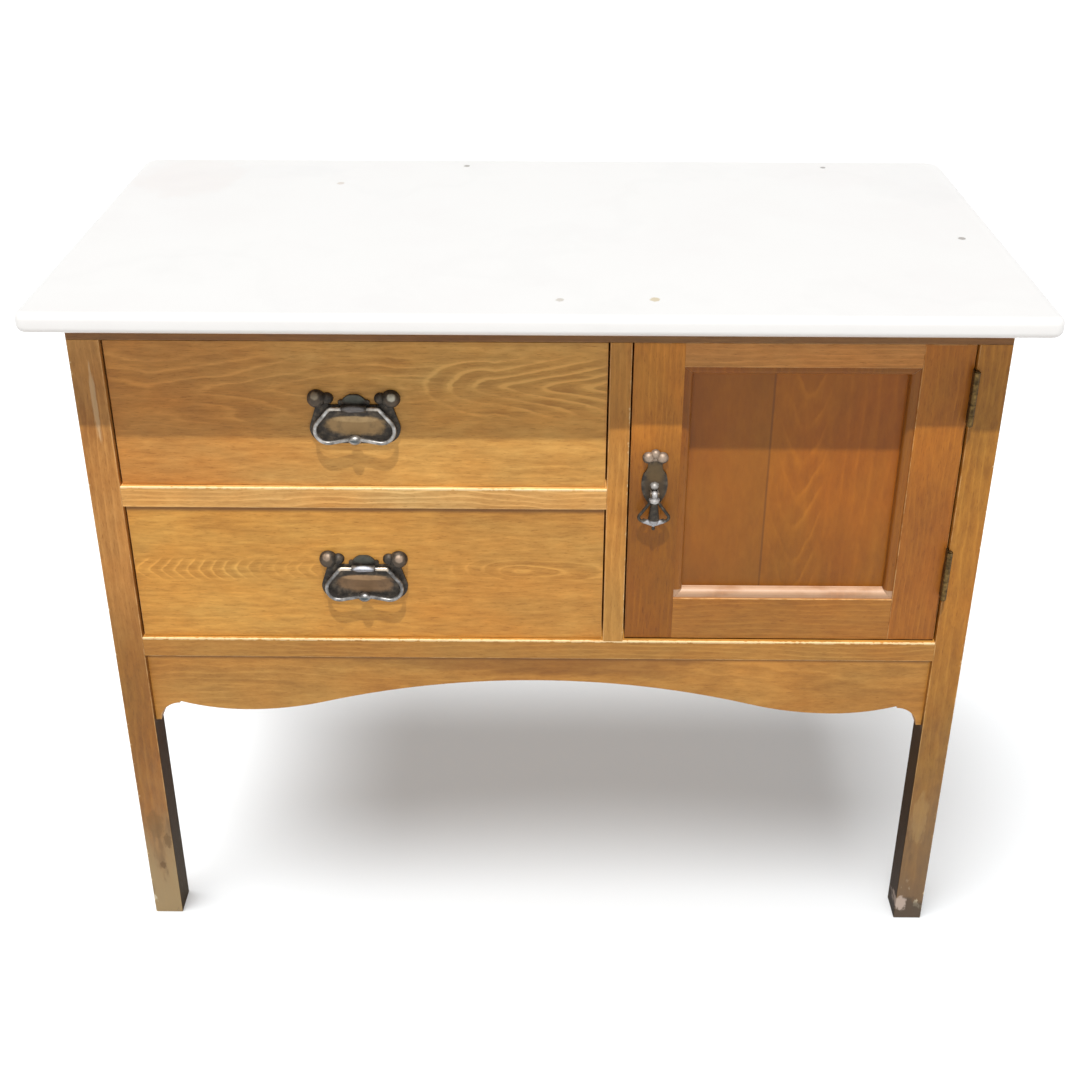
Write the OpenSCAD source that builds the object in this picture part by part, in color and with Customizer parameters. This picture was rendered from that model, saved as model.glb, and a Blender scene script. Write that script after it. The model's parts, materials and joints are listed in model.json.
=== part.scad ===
// A washstand: a marble slab on a four-legged wooden carcass with two drawers and a cupboard.
// Millimetres. X runs along the front, Y from the front to the back, Z upwards.
// The origin lies on the floor under the middle of the marble.

/* [Marble top] */
// Width of the marble slab
top_w = 920; // [850:1:980]
// Depth of the marble slab, front to back
top_d = 457; // [430:1:500]
// Thickness of the marble slab
top_t = 20; // [16:1:30]
// Radius of the slab's rounded edge, above and below
top_edge_r = 7; // [3:0.5:7.5]
// Radius of the slab's front corners in plan
top_front_r = 11; // [9:1:16]
// Radius of the slab's back corners in plan
top_back_r = 19; // [9:1:24]
// How far the slab stands over each side of the carcass
over_side = 32; // [15:1:45]
// How far the slab stands over the carcass front
over_front = 34; // [15:1:45]
// How far the slab stands over the carcass back
over_back = 6; // [2:1:25]

/* [Carcass] */
// Height of the carcass under the marble
stand_h = 726; // [690:1:780]
// Side of a square leg
leg_s = 30; // [28:1:38]
// Bevel round the end of a foot
foot_bevel = 2.5; // [1:0.5:5]
// Thickness of the frame that lies on the legs, under the marble
cap_t = 20; // [16:1:26]
// Depth of the rails in the carcass, front to back
rail_d = 60; // [50:1:75]
// Height of the rail between the drawers
drawer_rail_h = 22.5; // [18:0.5:30]
// Height of the rail under the drawers and the cupboard
bottom_rail_h = 22.5; // [18:0.5:30]
// Width of the post between the drawers and the cupboard
post_w = 20; // [16:1:28]
// Depth of that post, front to back
post_d = 40; // [30:1:45]
// Thickness of the side panels and of the partition
board_t = 12; // [10:1:14]
// How far a side panel lies inside the outer face of the legs
side_inset = 4; // [2:0.5:6]
// How far a side panel hangs below the bottom rail
side_drop = 14; // [0:1:40]
// Thickness of the boards that close the back
back_t = 10; // [8:0.5:12]
// How far the back boards lie inside the back face of the legs
back_inset = 2.5; // [1:0.5:4]
// Number of back boards
back_count = 6; // [4:1:8]
// Thickness of a tenon in the carcass joints
tenon_t = 9; // [7:0.5:11]
// Length of a tenon in the carcass joints
tenon_len = 12; // [8:1:16]

/* [Drawers] */
// Clear height of each drawer opening
drawer_open_h = 153.5; // [130:0.5:165]
// Clear width of the drawer bay
drawer_open_w = 463; // [420:1:480]
// How far the drawer fronts and the door lie behind the face of the legs
front_setback = 4; // [2:0.5:6]
// Thickness of a drawer front
drawer_front_t = 21; // [18:0.5:24]
// Thickness of the drawer sides and back
drawer_side_t = 9; // [7:0.5:11]
// Thickness of a drawer bottom
drawer_bottom_t = 5; // [4:0.5:6]
// Height of a drawer bottom above the lower edge of its sides
drawer_bottom_lift = 11; // [9:0.5:14]
// How far a drawer bottom lies in its grooves
drawer_groove = 4; // [3:0.5:5]
// How much lower the drawer back is than its sides
drawer_back_drop = 12; // [6:1:20]
// Space between the back boards and a closed drawer
drawer_rear_gap = 20; // [15:1:40]
// Wood left in front of the half-blind dovetails
lap_t = 5; // [4:0.5:7]
// Number of dovetails at each corner
tail_count = 4; // [3:1:5]
// Gap beside a drawer, at each side
drawer_gap_side = 1.5; // [0.8:0.1:2]
// Gap above a drawer front
drawer_gap_top = 2; // [1:0.1:3]
// Running gap under a drawer
drawer_gap_bottom = 0.3; // [0.2:0.1:0.6]
// Width of a drawer runner
runner_w = 22; // [18:1:26]
// Thickness of a runner's tread
runner_t = 12; // [10:1:16]

/* [Door] */
// Width of the door stiles
stile_w = 47; // [40:0.5:55]
// Height of the door's top rail
door_top_h = 24.5; // [20:0.5:40]
// Height of the door's bottom rail
door_bottom_h = 48; // [40:0.5:60]
// Thickness of the door frame
door_t = 20; // [18:0.5:24]
// Gap between the door and the leg, at the hinges
door_gap_side = 1; // [0.8:0.1:1.5]
// Gap between the door and the post, wide enough for the free edge to swing past
door_gap_free = 1.7; // [1.6:0.1:2.4]
// Gap above and below the door
door_gap_end = 1.5; // [0.8:0.1:2.5]
// Depth of the panel's face below the door's face
panel_recess = 10.5; // [9:0.5:12]
// Thickness of the door panel
panel_t = 6; // [5:0.5:7]
// How far the panel reaches into its grooves
panel_tongue = 7; // [5:0.5:9]
// Width of the moulding round the panel
mould_w = 8.5; // [6:0.5:12]
// Height of the hinges
hinge_h = 55; // [45:1:65]
// Distance from the opening's top to the upper hinge
hinge_top_drop = 25.5; // [20:0.5:60]
// Distance from the opening's bottom to the lower hinge
hinge_bottom_lift = 55.5; // [20:0.5:60]
// Radius of the hinge knuckles
knuckle_r = 3; // [2.5:0.1:3.5]
// Radius of the hinge pins
hinge_pin_r = 1.2; // [1:0.1:1.5]
// Thickness of a hinge leaf
leaf_t = 1.2; // [1:0.1:1.6]
// Width of a hinge leaf in the wood
leaf_w = 18; // [14:0.5:19]

/* [Apron] */
// Thickness of the apron
apron_t = 18; // [15:0.5:22]
// How far the apron lies behind the face of the legs
apron_setback = 6; // [3:0.5:10]
// Depth of the apron at its bracket ends
apron_foot_d = 86.5; // [76:0.5:100]
// Width of the bracket ends
apron_foot_w = 5.5; // [3:0.5:12]
// Radius of the hollow beside each bracket
apron_hollow_r = 22; // [15:0.5:30]
// Depth of the apron at its two low points
apron_low_d = 72.5; // [66:0.5:80]
// Depth of the apron in the middle of its arch
apron_mid_d = 32.3; // [28:0.5:45]
// Distance of the low points from the middle
apron_low_x = 303; // [280:1:320]
// Radius of the long arch
apron_arch_r = 840; // [700:10:950]
// Radius of the curve between a low point and the cusp beside its hollow
apron_cusp_r = 230; // [180:5:300]

/* [Handles] */
// Distance of the drawer handles from the middle of the drawers, to the right
handle_shift = -4.2; // [-10:0.1:10]
// Height of the pivot of a drawer handle above the middle of its drawer
bail_lift = 8.5; // [-10:0.5:20]
// Half the distance between the outer bosses of a drawer handle
boss_x = 34.4; // [30:0.1:40]
// Height of the bosses above the pivot
boss_y = 9; // [8:0.5:16]
// Radius of the outer bosses
boss_r = 8.8; // [6:0.1:9]
// Thickness of the cast handle plates
plate_t = 2.6; // [2:0.1:3.2]
// Radius of the bail's wire
bail_r = 1.9; // [1.6:0.1:2.2]
// Distance from the pivot down to the bail's lower bar
bail_drop = 34.3; // [28:0.1:38]
// Rise of the bail's lower bar in its middle
bail_rise = 4.5; // [1:0.1:6]
// Half the width of the bail, at the middle of its wire
bail_half_w = 37; // [32:0.1:40]
// Distance of the pivot in front of the drawer
bail_out = 5.3; // [5:0.1:7]
// Lean of the hanging bail, which keeps its lower bar off the plate
bail_lean = 5; // [4:0.1:8]
// Running clearance of the bail and the drop in their bores, on the radius
pivot_clear = 0.08; // [0.04:0.01:0.1]
// Height of the door handle's pivot above the lower edge of the door
drop_z = 172; // [120:1:220]
// Distance of the door handle's pivot in front of the door
drop_out = 8.5; // [8:0.1:10]
// Radius of the pin that carries the drop
drop_pin_r = 1.2; // [1:0.1:1.5]
// Length of the drop below its pin, to its lower bar
drop_len = 32.5; // [28:0.5:38]
// Radius of the screws that hold the handles
screw_r = 1.9; // [1.5:0.1:2.2]

/* [Hidden] */

// Colours of the finishes
honey_wood = [0.78, 0.55, 0.28];
red_wood = [0.62, 0.38, 0.19];
plain_wood = [0.80, 0.66, 0.45];
marble_white = [0.95, 0.95, 0.93];
dark_bronze = [0.26, 0.22, 0.18];
worn_steel = [0.55, 0.54, 0.52];
old_brass = [0.58, 0.45, 0.22];

// A small overrun that lets a cut pass its faces
cut = 1;
// Facets of the small, the ordinary and the long curves
$fn = 48;
fine_fn = 96;
long_fn = 360;

// Outer faces of the carcass
case_w = top_w - 2 * over_side;
case_front = -top_d / 2 + over_front;
case_back = top_d / 2 - over_back;
// Inner faces of the legs
bay_x = case_w / 2 - leg_s;
leg_in_front = case_front + leg_s;
leg_in_back = case_back - leg_s;
leg_h = stand_h - cap_t;
// Front faces of the drawers, the door and the apron
face_y = case_front + front_setback;
apron_y = case_front + apron_setback;
rail_back_y = case_front + rail_d;
// Levels of the openings and of the rails between them
upper_z = leg_h - drawer_open_h;
lower_z = upper_z - drawer_rail_h - drawer_open_h;
rail_z = lower_z - bottom_rail_h;
// Drawer bay, post and cupboard bay along X
post_x = -bay_x + drawer_open_w;
cup_x = post_x + post_w;
part_x = post_x + board_t;
// Side panels, back boards and the rail inside them
panel_out = case_w / 2 - side_inset;
panel_in = panel_out - board_t;
boards_y = case_back - back_inset - back_t;
back_rail_t = boards_y - leg_in_back + tenon_t / 2;
back_rail_y = boards_y - back_rail_t;
// Glue blocks behind the apron
glue_s = 16;
glue_len = 60;
glue_count = 5;
// Stub joints of the frame on the legs, and tongues of the panels
stub_s = leg_s / 2;
stub_len = cap_t * 0.6;
tongue_t = board_t / 2;
tongue_len = 6;
// Drawer box
drawer_x0 = -bay_x + drawer_gap_side;
drawer_x1 = post_x - drawer_gap_side;
drawer_h = drawer_open_h - drawer_gap_top - drawer_gap_bottom;
drawer_in_y = face_y + drawer_front_t;
drawer_end_y = boards_y - drawer_rear_gap;
tail_len = drawer_front_t - lap_t;
tail_slope = 1 / 7;
// Stops behind the drawer fronts
stop_t = 6;
stop_d = 14;
stop_w = 40;
stop_gap = 0.3;
// Door
door_x0 = cup_x + door_gap_free;
door_x1 = bay_x - door_gap_side;
door_z0 = lower_z + door_gap_end;
door_z1 = leg_h - door_gap_end;
light_x0 = door_x0 + stile_w;
light_x1 = door_x1 - stile_w;
light_z0 = door_z0 + door_bottom_h;
light_z1 = door_z1 - door_top_h;
panel_y = face_y + panel_recess;
door_tenon_len = stile_w * 0.55;
door_tenon_t = 6;
groove_play = 1;
// Hinges, whose knuckles stand just in front of the legs
knuckle_gap = 0.3;
knuckle_count = 5;
knuckle_play = 0.15;
pin_play = 0.05;
hinge_x = (door_x1 + bay_x) / 2 + 0.25 * door_gap_side;
hinge_y = case_front - knuckle_r - knuckle_gap;
leaf_y = case_front + 0.2;
hinge_zs = [lower_z + hinge_bottom_lift, leg_h - hinge_top_drop - hinge_h];
// Ball catch in the door's free edge
catch_r = 4;
catch_len = 12;
catch_ball_r = 3;
catch_z = (door_z0 + door_z1) / 2 + 70;
catch_y = face_y + door_t / 2;
catch_play = 0.05;
catch_out = 0.6;
strike_t = 1;
// Handles
handle_x = (drawer_x0 + drawer_x1) / 2 + handle_shift;
lobe_x = boss_x - 9.8;
lobe_r = 5.8;
body_r = 15.5;
body_x = bail_half_w + bail_r + 3.4 - body_r;
body_y = -bail_drop + 12.5;
barrel_len = 23;
barrel_r = bail_r + pivot_clear + 2;
dish_r = 36;
dish_half = 18;
dish_depth = 1.3;
bend_r = 3;
bail_bend_x = 21.5;
bail_corner_r = 12.5;
wire_swell = 1.03;
wire_gap = 0.3;
bead_x = 7.2;
bead_r = 4.6;
bead_sag = 1.4;
drop_x = (door_x0 + light_x0) / 2;
head_y = 37.5;
drop_low_screw = -12.5;
ear_gap = 5.4;
ear_t = 1.6;
eye_w = 5;
eye_r = 3.6;

// ---------- helpers ----------

// A rod of radius r between two points of the XY plane
module rod(p, q, r) {
    d = q - p;
    translate([p[0], p[1], 0])
        rotate([0, 0, atan2(d[1], d[0])])
            rotate([0, 90, 0])
                cylinder(h = norm(d), r = r);
}

// A bend of a rod of radius r, turned about c from angle a0 to a1
module bend(c, bend, a0, a1, r) {
    translate([c[0], c[1], 0])
        rotate([0, 0, a0])
            rotate_extrude(angle = a1 - a0)
                translate([bend, 0])
                    circle(r = r);
}

// A handle's own plane is XY with Z pointing out of the wood; this stands it on the front
module on_front(x, z) {
    translate([x, face_y, z])
        rotate([90, 0, 0])
            children();
}

// Mirrored twice: as it is, and across the YZ plane
module both_sides() {
    children();
    mirror([1, 0, 0])
        children();
}

// A box from one corner to the opposite one
module block(a, b) {
    translate(a)
        cube(b - a);
}

// ---------- marble ----------

// Half section of the slab's rounded edge, of width w
module edge_section(w) {
    translate([0, 0])
        square([w - top_edge_r, top_t]);
    translate([0, top_edge_r])
        square([w, top_t - 2 * top_edge_r]);
    translate([w - top_edge_r, top_edge_r])
        circle(r = top_edge_r);
    translate([w - top_edge_r, top_t - top_edge_r])
        circle(r = top_edge_r);
}

module slab_corner(x, y, r, turn) {
    translate([x, y, stand_h])
        rotate([0, 0, turn])
            rotate_extrude(angle = 90, $fn = fine_fn)
                intersection() {
                    edge_section(r);
                    square([r, top_t]);
                }
}

module slab_edge(x, y, turn, w, length) {
    translate([x, y, stand_h])
        rotate([0, 0, turn])
            rotate([90, 0, 0])
                linear_extrude(height = length)
                    intersection() {
                        edge_section(w);
                        square([w, top_t]);
                    }
}

module marble_top() {
    x = top_w / 2;
    y = top_d / 2;
    f = top_front_r;
    b = top_back_r;
    color(marble_white) {
        block([-x + b, -y + f, stand_h], [x - b, y - b, stand_h + top_t]);
        slab_corner(x - f, -y + f, f, -90);
        slab_corner(-x + f, -y + f, f, 180);
        slab_corner(x - b, y - b, b, 0);
        slab_corner(-x + b, y - b, b, 90);
        slab_edge(x - f, -y + f, -90, f, top_w - 2 * f);
        slab_edge(-x + b, y - b, 90, b, top_w - 2 * b);
        slab_edge(x - b, y - b, 0, b, top_d - b - f);
        slab_edge(-x + b, -y + f, 180, b, top_d - b - f);
    }
}

// ---------- legs and the frame on them ----------

// A leg with its foot at the origin, bevelled at its end, and a stub at its head
module leg_blank() {
    difference() {
        union() {
            translate([-leg_s / 2, -leg_s / 2, 0])
                cube([leg_s, leg_s, leg_h]);
            translate([-stub_s / 2, -stub_s / 2, leg_h])
                cube([stub_s, stub_s, stub_len]);
        }
        for (turn = [0 : 90 : 270])
            rotate([0, 0, turn])
                translate([leg_s / 2, 0, -foot_bevel])
                    rotate([0, 45, 0])
                        cube([foot_bevel * sqrt(2), leg_s * 2, foot_bevel * sqrt(8)], center = true);
    }
}

// A tenon on the end of a rail whose height runs from z0 to z1, reaching from x0 to x1
module rail_tenon(x0, x1, y, z0, z1) {
    shoulder = (z1 - z0) / 6;
    block([x0, y - tenon_t / 2, z0 + shoulder], [x1, y + tenon_t / 2, z1 - shoulder]);
}

// Sockets that the leg at sx, sy offers to the rails, the side panel and the hinges
module leg_sockets(sx, sy) {
    x_in = sx * bay_x;
    x_deep = sx * (bay_x + tenon_len);
    x_lo = min(x_in, x_deep);
    x_hi = max(x_in, x_deep);
    if (sy < 0) {
        rail_tenon(x_lo, x_hi, case_front + leg_s / 2, rail_z, lower_z);
        if (sx < 0)
            rail_tenon(x_lo, x_hi, case_front + leg_s / 2, upper_z - drawer_rail_h, upper_z);
        else
            hinge_pockets();
    } else {
        rail_tenon(x_lo, x_hi, back_rail_y + back_rail_t / 2, rail_z, lower_z);
    }
    mirror([sx > 0 ? 1 : 0, 0, 0])
        side_panel_blank();
}

module leg(sx, sy) {
    leg_y = sy < 0 ? case_front + leg_s / 2 : case_back - leg_s / 2;
    color(honey_wood)
        difference() {
            translate([sx * (case_w - leg_s) / 2, leg_y, 0])
                leg_blank();
            leg_sockets(sx, sy);
        }
}

module leg_front_left() { leg(-1, -1); }
module leg_front_right() { leg(1, -1); }
module leg_back_left() { leg(-1, 1); }
module leg_back_right() { leg(1, 1); }

// A long rail of the frame, with sockets for the leg stubs and for the cross rails
module cap_rail(y0, y1, leg_y) {
    difference() {
        block([-case_w / 2, y0, leg_h], [case_w / 2, y1, stand_h]);
        for (sx = [-1, 1])
            translate([sx * (case_w - leg_s) / 2 - stub_s / 2, leg_y - stub_s / 2, leg_h])
                translate([0, 0, -cut])
                    cube([stub_s, stub_s, stub_len + cut]);
        for (x = cap_cross_xs)
            cap_tongue(x);
        block([post_x + post_w / 4, case_front + post_d / 4, leg_h - cut],
              [cup_x - post_w / 4, case_front + post_d * 3 / 4, leg_h + stub_len]);
    }
}

// Middles of the three cross rails
cap_cross_xs = [-(case_w - rail_d) / 2, (case_w - rail_d) / 2, (post_x + part_x) / 2];

// The tongued length of a cross rail
module cap_tongue(x) {
    block([x - rail_d / 4, rail_back_y - tenon_len, leg_h + cap_t / 3],
          [x + rail_d / 4, case_back - rail_d + tenon_len, leg_h + cap_t * 2 / 3]);
}

module cap_cross(x) {
    color(plain_wood)
        union() {
            block([x - rail_d / 2, rail_back_y, leg_h], [x + rail_d / 2, case_back - rail_d, stand_h]);
            cap_tongue(x);
        }
}

module top_rail_front() {
    color(honey_wood)
        cap_rail(case_front, rail_back_y, case_front + leg_s / 2);
}

module top_rail_back() {
    color(plain_wood)
        cap_rail(case_back - rail_d, case_back, case_back - leg_s / 2);
}

module top_rail_left() { cap_cross(cap_cross_xs[0]); }
module top_rail_right() { cap_cross(cap_cross_xs[1]); }
module top_bearer_centre() { cap_cross(cap_cross_xs[2]); }

// ---------- rails, post and panels ----------

// The length of the post, with a stub at each end
module post_stub(z0, z1) {
    block([post_x + post_w / 4, case_front + post_d / 4, z0],
          [cup_x - post_w / 4, case_front + post_d * 3 / 4, z1]);
}

module drawer_rail() {
    color(honey_wood) {
        block([-bay_x, case_front, upper_z - drawer_rail_h], [post_x, leg_in_front, upper_z]);
        block([-bay_x, leg_in_front, upper_z - drawer_rail_h], [post_x, rail_back_y, upper_z]);
        rail_tenon(-bay_x - tenon_len, -bay_x, case_front + leg_s / 2, upper_z - drawer_rail_h, upper_z);
        rail_tenon(post_x, post_x + post_w / 2, case_front + leg_s / 2, upper_z - drawer_rail_h, upper_z);
    }
}

module bottom_rail_front() {
    color(honey_wood)
        difference() {
            union() {
                block([-bay_x, case_front, rail_z], [bay_x, rail_back_y, lower_z]);
                for (x = [-bay_x - tenon_len, bay_x])
                    rail_tenon(x, x + tenon_len, case_front + leg_s / 2, rail_z, lower_z);
            }
            post_stub(lower_z - bottom_rail_h / 2, lower_z + cut);
        }
}

module bottom_rail_back() {
    color(plain_wood)
        union() {
            block([-bay_x, back_rail_y, rail_z], [bay_x, boards_y, lower_z]);
            for (x = [-bay_x - tenon_len, bay_x])
                rail_tenon(x, x + tenon_len, back_rail_y + back_rail_t / 2, rail_z, lower_z);
        }
}

module centre_post() {
    color(honey_wood)
        difference() {
            union() {
                block([post_x, case_front, lower_z], [cup_x, case_front + post_d, leg_h]);
                post_stub(lower_z - bottom_rail_h / 2, leg_h + stub_len);
            }
            rail_tenon(post_x - cut, post_x + post_w / 2, case_front + leg_s / 2,
                       upper_z - drawer_rail_h, upper_z);
            strike_blank(0);
        }
}

// The partition fills the space behind the post, and is notched over the two bottom rails
module partition() {
    cleat_z = rail_z - runner_t / 2;
    color(plain_wood)
        translate([part_x, 0, 0])
            rotate([90, 0, -90])
                linear_extrude(height = board_t)
                    polygon([
                        [-case_front - post_d, leg_h],
                        [-case_front - post_d, lower_z],
                        [-rail_back_y, lower_z],
                        [-rail_back_y, cleat_z],
                        [-back_rail_y, cleat_z],
                        [-back_rail_y, lower_z],
                        [-boards_y, lower_z],
                        [-boards_y, leg_h]
                    ]);
}

// The left side panel with the tongues that lie in the legs
module side_panel_blank() {
    mid = -(panel_out + panel_in) / 2;
    block([-panel_out, leg_in_front, rail_z - side_drop], [-panel_in, leg_in_back, leg_h]);
    block([mid - tongue_t / 2, leg_in_front - tongue_len, rail_z - side_drop],
          [mid + tongue_t / 2, leg_in_back + tongue_len, leg_h]);
}

module side_panel_left() {
    color(honey_wood)
        side_panel_blank();
}

module side_panel_right() {
    color(honey_wood)
        mirror([1, 0, 0])
            side_panel_blank();
}

// One matched board: a tongue on one edge, a groove in the other and a V at each face joint
module matched_board(w, first, last) {
    play = 0.4;
    tongue = back_t * 0.4;
    third = back_t / 3;
    slack = 0.15;
    vee = 1.5;
    linear_extrude(height = leg_h - rail_z)
        difference() {
            union() {
                square([w - (last ? 0 : play), back_t]);
                if (!last)
                    translate([w - play, third])
                        square([tongue, third]);
            }
            if (!first)
                translate([-cut, third - slack])
                    square([tongue + slack + cut, third + 2 * slack]);
            for (x = [first ? -back_t : 0, last ? w + back_t : w - play])
                translate([x, back_t])
                    rotate([0, 0, 45])
                        square(vee * sqrt(2), center = true);
        }
}

module back_boards() {
    w = 2 * bay_x / back_count;
    color(plain_wood)
        for (i = [0 : back_count - 1])
            translate([-bay_x + i * w, boards_y, rail_z])
                matched_board(w, i == 0, i == back_count - 1);
}

module cupboard_floor() {
    color(plain_wood)
        block([part_x, rail_back_y, lower_z - board_t], [panel_in, back_rail_y, lower_z]);
}

module floor_cleats() {
    color(plain_wood)
        for (x = [part_x, panel_in - runner_t])
            block([x, rail_back_y, rail_z - runner_t / 2], [x + runner_t, back_rail_y, lower_z - board_t]);
}

// A runner's tread carries the drawer side; on the left it also guides it
module runner_left(z) {
    color(plain_wood) {
        block([-panel_in, rail_back_y, z - runner_t], [-bay_x + runner_w, back_rail_y, z]);
        block([-panel_in, rail_back_y, z - runner_t], [-bay_x, leg_in_back, z + runner_t]);
    }
}

module runner_right(z) {
    color(plain_wood)
        block([post_x - runner_w, rail_back_y, z - runner_t], [post_x, back_rail_y, z]);
}

module runner_upper_left() { runner_left(upper_z); }
module runner_upper_right() { runner_right(upper_z); }
module runner_lower_left() { runner_left(lower_z); }
module runner_lower_right() { runner_right(lower_z); }

module drawer_stops() {
    color(plain_wood)
        for (z = [upper_z, lower_z])
            for (side = [0, 1])
                translate([side == 0 ? drawer_x0 + 60 : drawer_x1 - 60 - stop_w, drawer_in_y + stop_gap, z])
                    cube([stop_w, stop_d, stop_t]);
}

// ---------- apron ----------

// The lower outline on one side is a long arch, a low swelling, a cusp and a quarter hollow.
apron_dip_r = let (d = apron_low_x, h = apron_low_d - apron_mid_d)
    (d * d + h * h) / (2 * h) - apron_arch_r;
apron_hollow_x = bay_x - apron_foot_w - apron_hollow_r;

// Points on an arc round c, of radius r, from angle a0 to a1 in n steps, without the first
function arc_points(c, r, a0, a1, n) = [
    for (i = [1 : n])
        let (a = a0 + (a1 - a0) * i / n)
            c + r * [cos(a), sin(a)]
];

// One half of the apron's lower edge from the middle outwards, with the rail's lower edge as Y 0
function apron_edge() =
    let (
        arch_c = [0, -apron_mid_d - apron_arch_r],
        dip_c = [apron_low_x, -apron_low_d + apron_dip_r],
        cusp_c = [apron_low_x, -apron_low_d + apron_cusp_r],
        join = atan2(dip_c[1] - arch_c[1], dip_c[0]),
        cusp = asin((apron_hollow_x - apron_low_x) / apron_cusp_r)
    )
    concat(
        [[0, -apron_mid_d]],
        arc_points(arch_c, apron_arch_r, 90, join, 14),
        arc_points(dip_c, apron_dip_r, join + 180, 270, 8),
        arc_points(cusp_c, apron_cusp_r, 270, 270 + cusp, 7),
        [[apron_hollow_x, -apron_foot_d + apron_hollow_r]],
        arc_points([apron_hollow_x, -apron_foot_d], apron_hollow_r, 90, 0, 12),
        [[bay_x, -apron_foot_d], [bay_x, 0]]
    );

module apron() {
    edge = apron_edge();
    color(honey_wood)
        translate([0, apron_y + apron_t, rail_z])
            rotate([90, 0, 0])
                linear_extrude(height = apron_t)
                    polygon(concat(edge, [for (i = [len(edge) - 1 : -1 : 1]) [-edge[i][0], edge[i][1]]]));
}

// Three-cornered blocks glued in the angle behind the apron
module glue_blocks() {
    step = (2 * bay_x - glue_len) / (glue_count - 1);
    color(plain_wood)
        for (i = [0 : glue_count - 1])
            translate([-bay_x + i * step, apron_y + apron_t, rail_z])
                rotate([90, 0, 90])
                    linear_extrude(height = glue_len)
                        polygon([[0, 0], [glue_s, 0], [0, -glue_s]]);
}

// ---------- drawers ----------

// Dovetails drawn along +X from their roots at X 0, spread over the height h
module tails(h, length, inset) {
    for (i = [0 : tail_count - 1])
        translate([0, (i + 0.5) * h / tail_count]) {
            wide = h / tail_count * 0.36 - inset;
            polygon([
                [0, -wide + length * tail_slope],
                [length, -wide],
                [length, wide],
                [0, wide - length * tail_slope]
            ]);
        }
}

// A drawer side seen from the side, with its tails at the front and pin sockets at the back
module drawer_side_outline() {
    length = drawer_end_y - drawer_in_y;
    back_h = drawer_h - drawer_back_drop - drawer_bottom_lift - drawer_bottom_t;
    difference() {
        square([length, drawer_h]);
        translate([length - drawer_side_t, drawer_bottom_lift + drawer_bottom_t])
            back_pins(back_h);
    }
    mirror([1, 0])
        tails(drawer_h, tail_len, 0);
}

// Pins of the drawer back, which widen towards the side's outer end
module back_pins(h) {
    for (i = [0 : tail_count])
        translate([0, i * h / tail_count]) {
            half = h / tail_count * 0.2;
            flare = drawer_side_t * tail_slope;
            intersection() {
                polygon([
                    [0, -half],
                    [drawer_side_t, -half + flare],
                    [drawer_side_t, half - flare],
                    [0, half]
                ]);
                translate([0, -i * h / tail_count])
                    square([drawer_side_t, h]);
            }
        }
}

// The YZ outlines above are drawn as XY; this stands them up along Y
module stand_along_y(x, z) {
    translate([x, drawer_in_y, z])
        rotate([90, 0, 90])
            children();
}

module drawer_bottom_blank(z) {
    y0 = drawer_in_y - drawer_groove;
    x0 = drawer_x0 + drawer_side_t - drawer_groove;
    x1 = drawer_x1 - drawer_side_t + drawer_groove;
    block([x0, y0, z + drawer_gap_bottom + drawer_bottom_lift],
          [x1, drawer_end_y, z + drawer_gap_bottom + drawer_bottom_lift + drawer_bottom_t]);
}

module drawer_front(z) {
    color(honey_wood)
        difference() {
            block([drawer_x0, face_y, z + drawer_gap_bottom],
                  [drawer_x1, drawer_in_y, z + drawer_gap_bottom + drawer_h]);
            for (x = [drawer_x0, drawer_x1 - drawer_side_t])
                stand_along_y(x, z + drawer_gap_bottom)
                    linear_extrude(height = drawer_side_t)
                        mirror([1, 0])
                            tails(drawer_h, tail_len, 0);
            drawer_bottom_blank(z);
            for (side = [-1, 1])
                on_front(handle_x + side * boss_x, handle_z(z) + boss_y)
                    translate([0, 0, -drawer_front_t - cut])
                        cylinder(h = drawer_front_t + 2 * cut, r = screw_r + 0.4);
        }
}

module drawer_side(x, z) {
    color(plain_wood)
        difference() {
            stand_along_y(x, z + drawer_gap_bottom)
                linear_extrude(height = drawer_side_t)
                    drawer_side_outline();
            drawer_bottom_blank(z);
        }
}

module drawer_back(z) {
    z0 = z + drawer_gap_bottom + drawer_bottom_lift + drawer_bottom_t;
    h = drawer_h - drawer_back_drop - drawer_bottom_lift - drawer_bottom_t;
    color(plain_wood)
        union() {
            block([drawer_x0 + drawer_side_t, drawer_end_y - drawer_side_t, z0],
                  [drawer_x1 - drawer_side_t, drawer_end_y, z0 + h]);
            for (x = [drawer_x0, drawer_x1 - drawer_side_t])
                translate([x, drawer_end_y - drawer_side_t, z0])
                    rotate([90, 0, 90])
                        linear_extrude(height = drawer_side_t)
                            back_pins(h);
        }
}

module drawer_bottom(z) {
    color(plain_wood)
        drawer_bottom_blank(z);
}

module upper_drawer_front() { drawer_front(upper_z); }
module upper_drawer_side_left() { drawer_side(drawer_x0, upper_z); }
module upper_drawer_side_right() { drawer_side(drawer_x1 - drawer_side_t, upper_z); }
module upper_drawer_back() { drawer_back(upper_z); }
module upper_drawer_bottom() { drawer_bottom(upper_z); }
module lower_drawer_front() { drawer_front(lower_z); }
module lower_drawer_side_left() { drawer_side(drawer_x0, lower_z); }
module lower_drawer_side_right() { drawer_side(drawer_x1 - drawer_side_t, lower_z); }
module lower_drawer_back() { drawer_back(lower_z); }
module lower_drawer_bottom() { drawer_bottom(lower_z); }

// ---------- drawer handles ----------

// Height of a drawer handle's pivot over the floor
function handle_z(z) = z + drawer_open_h / 2 + bail_lift;

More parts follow.
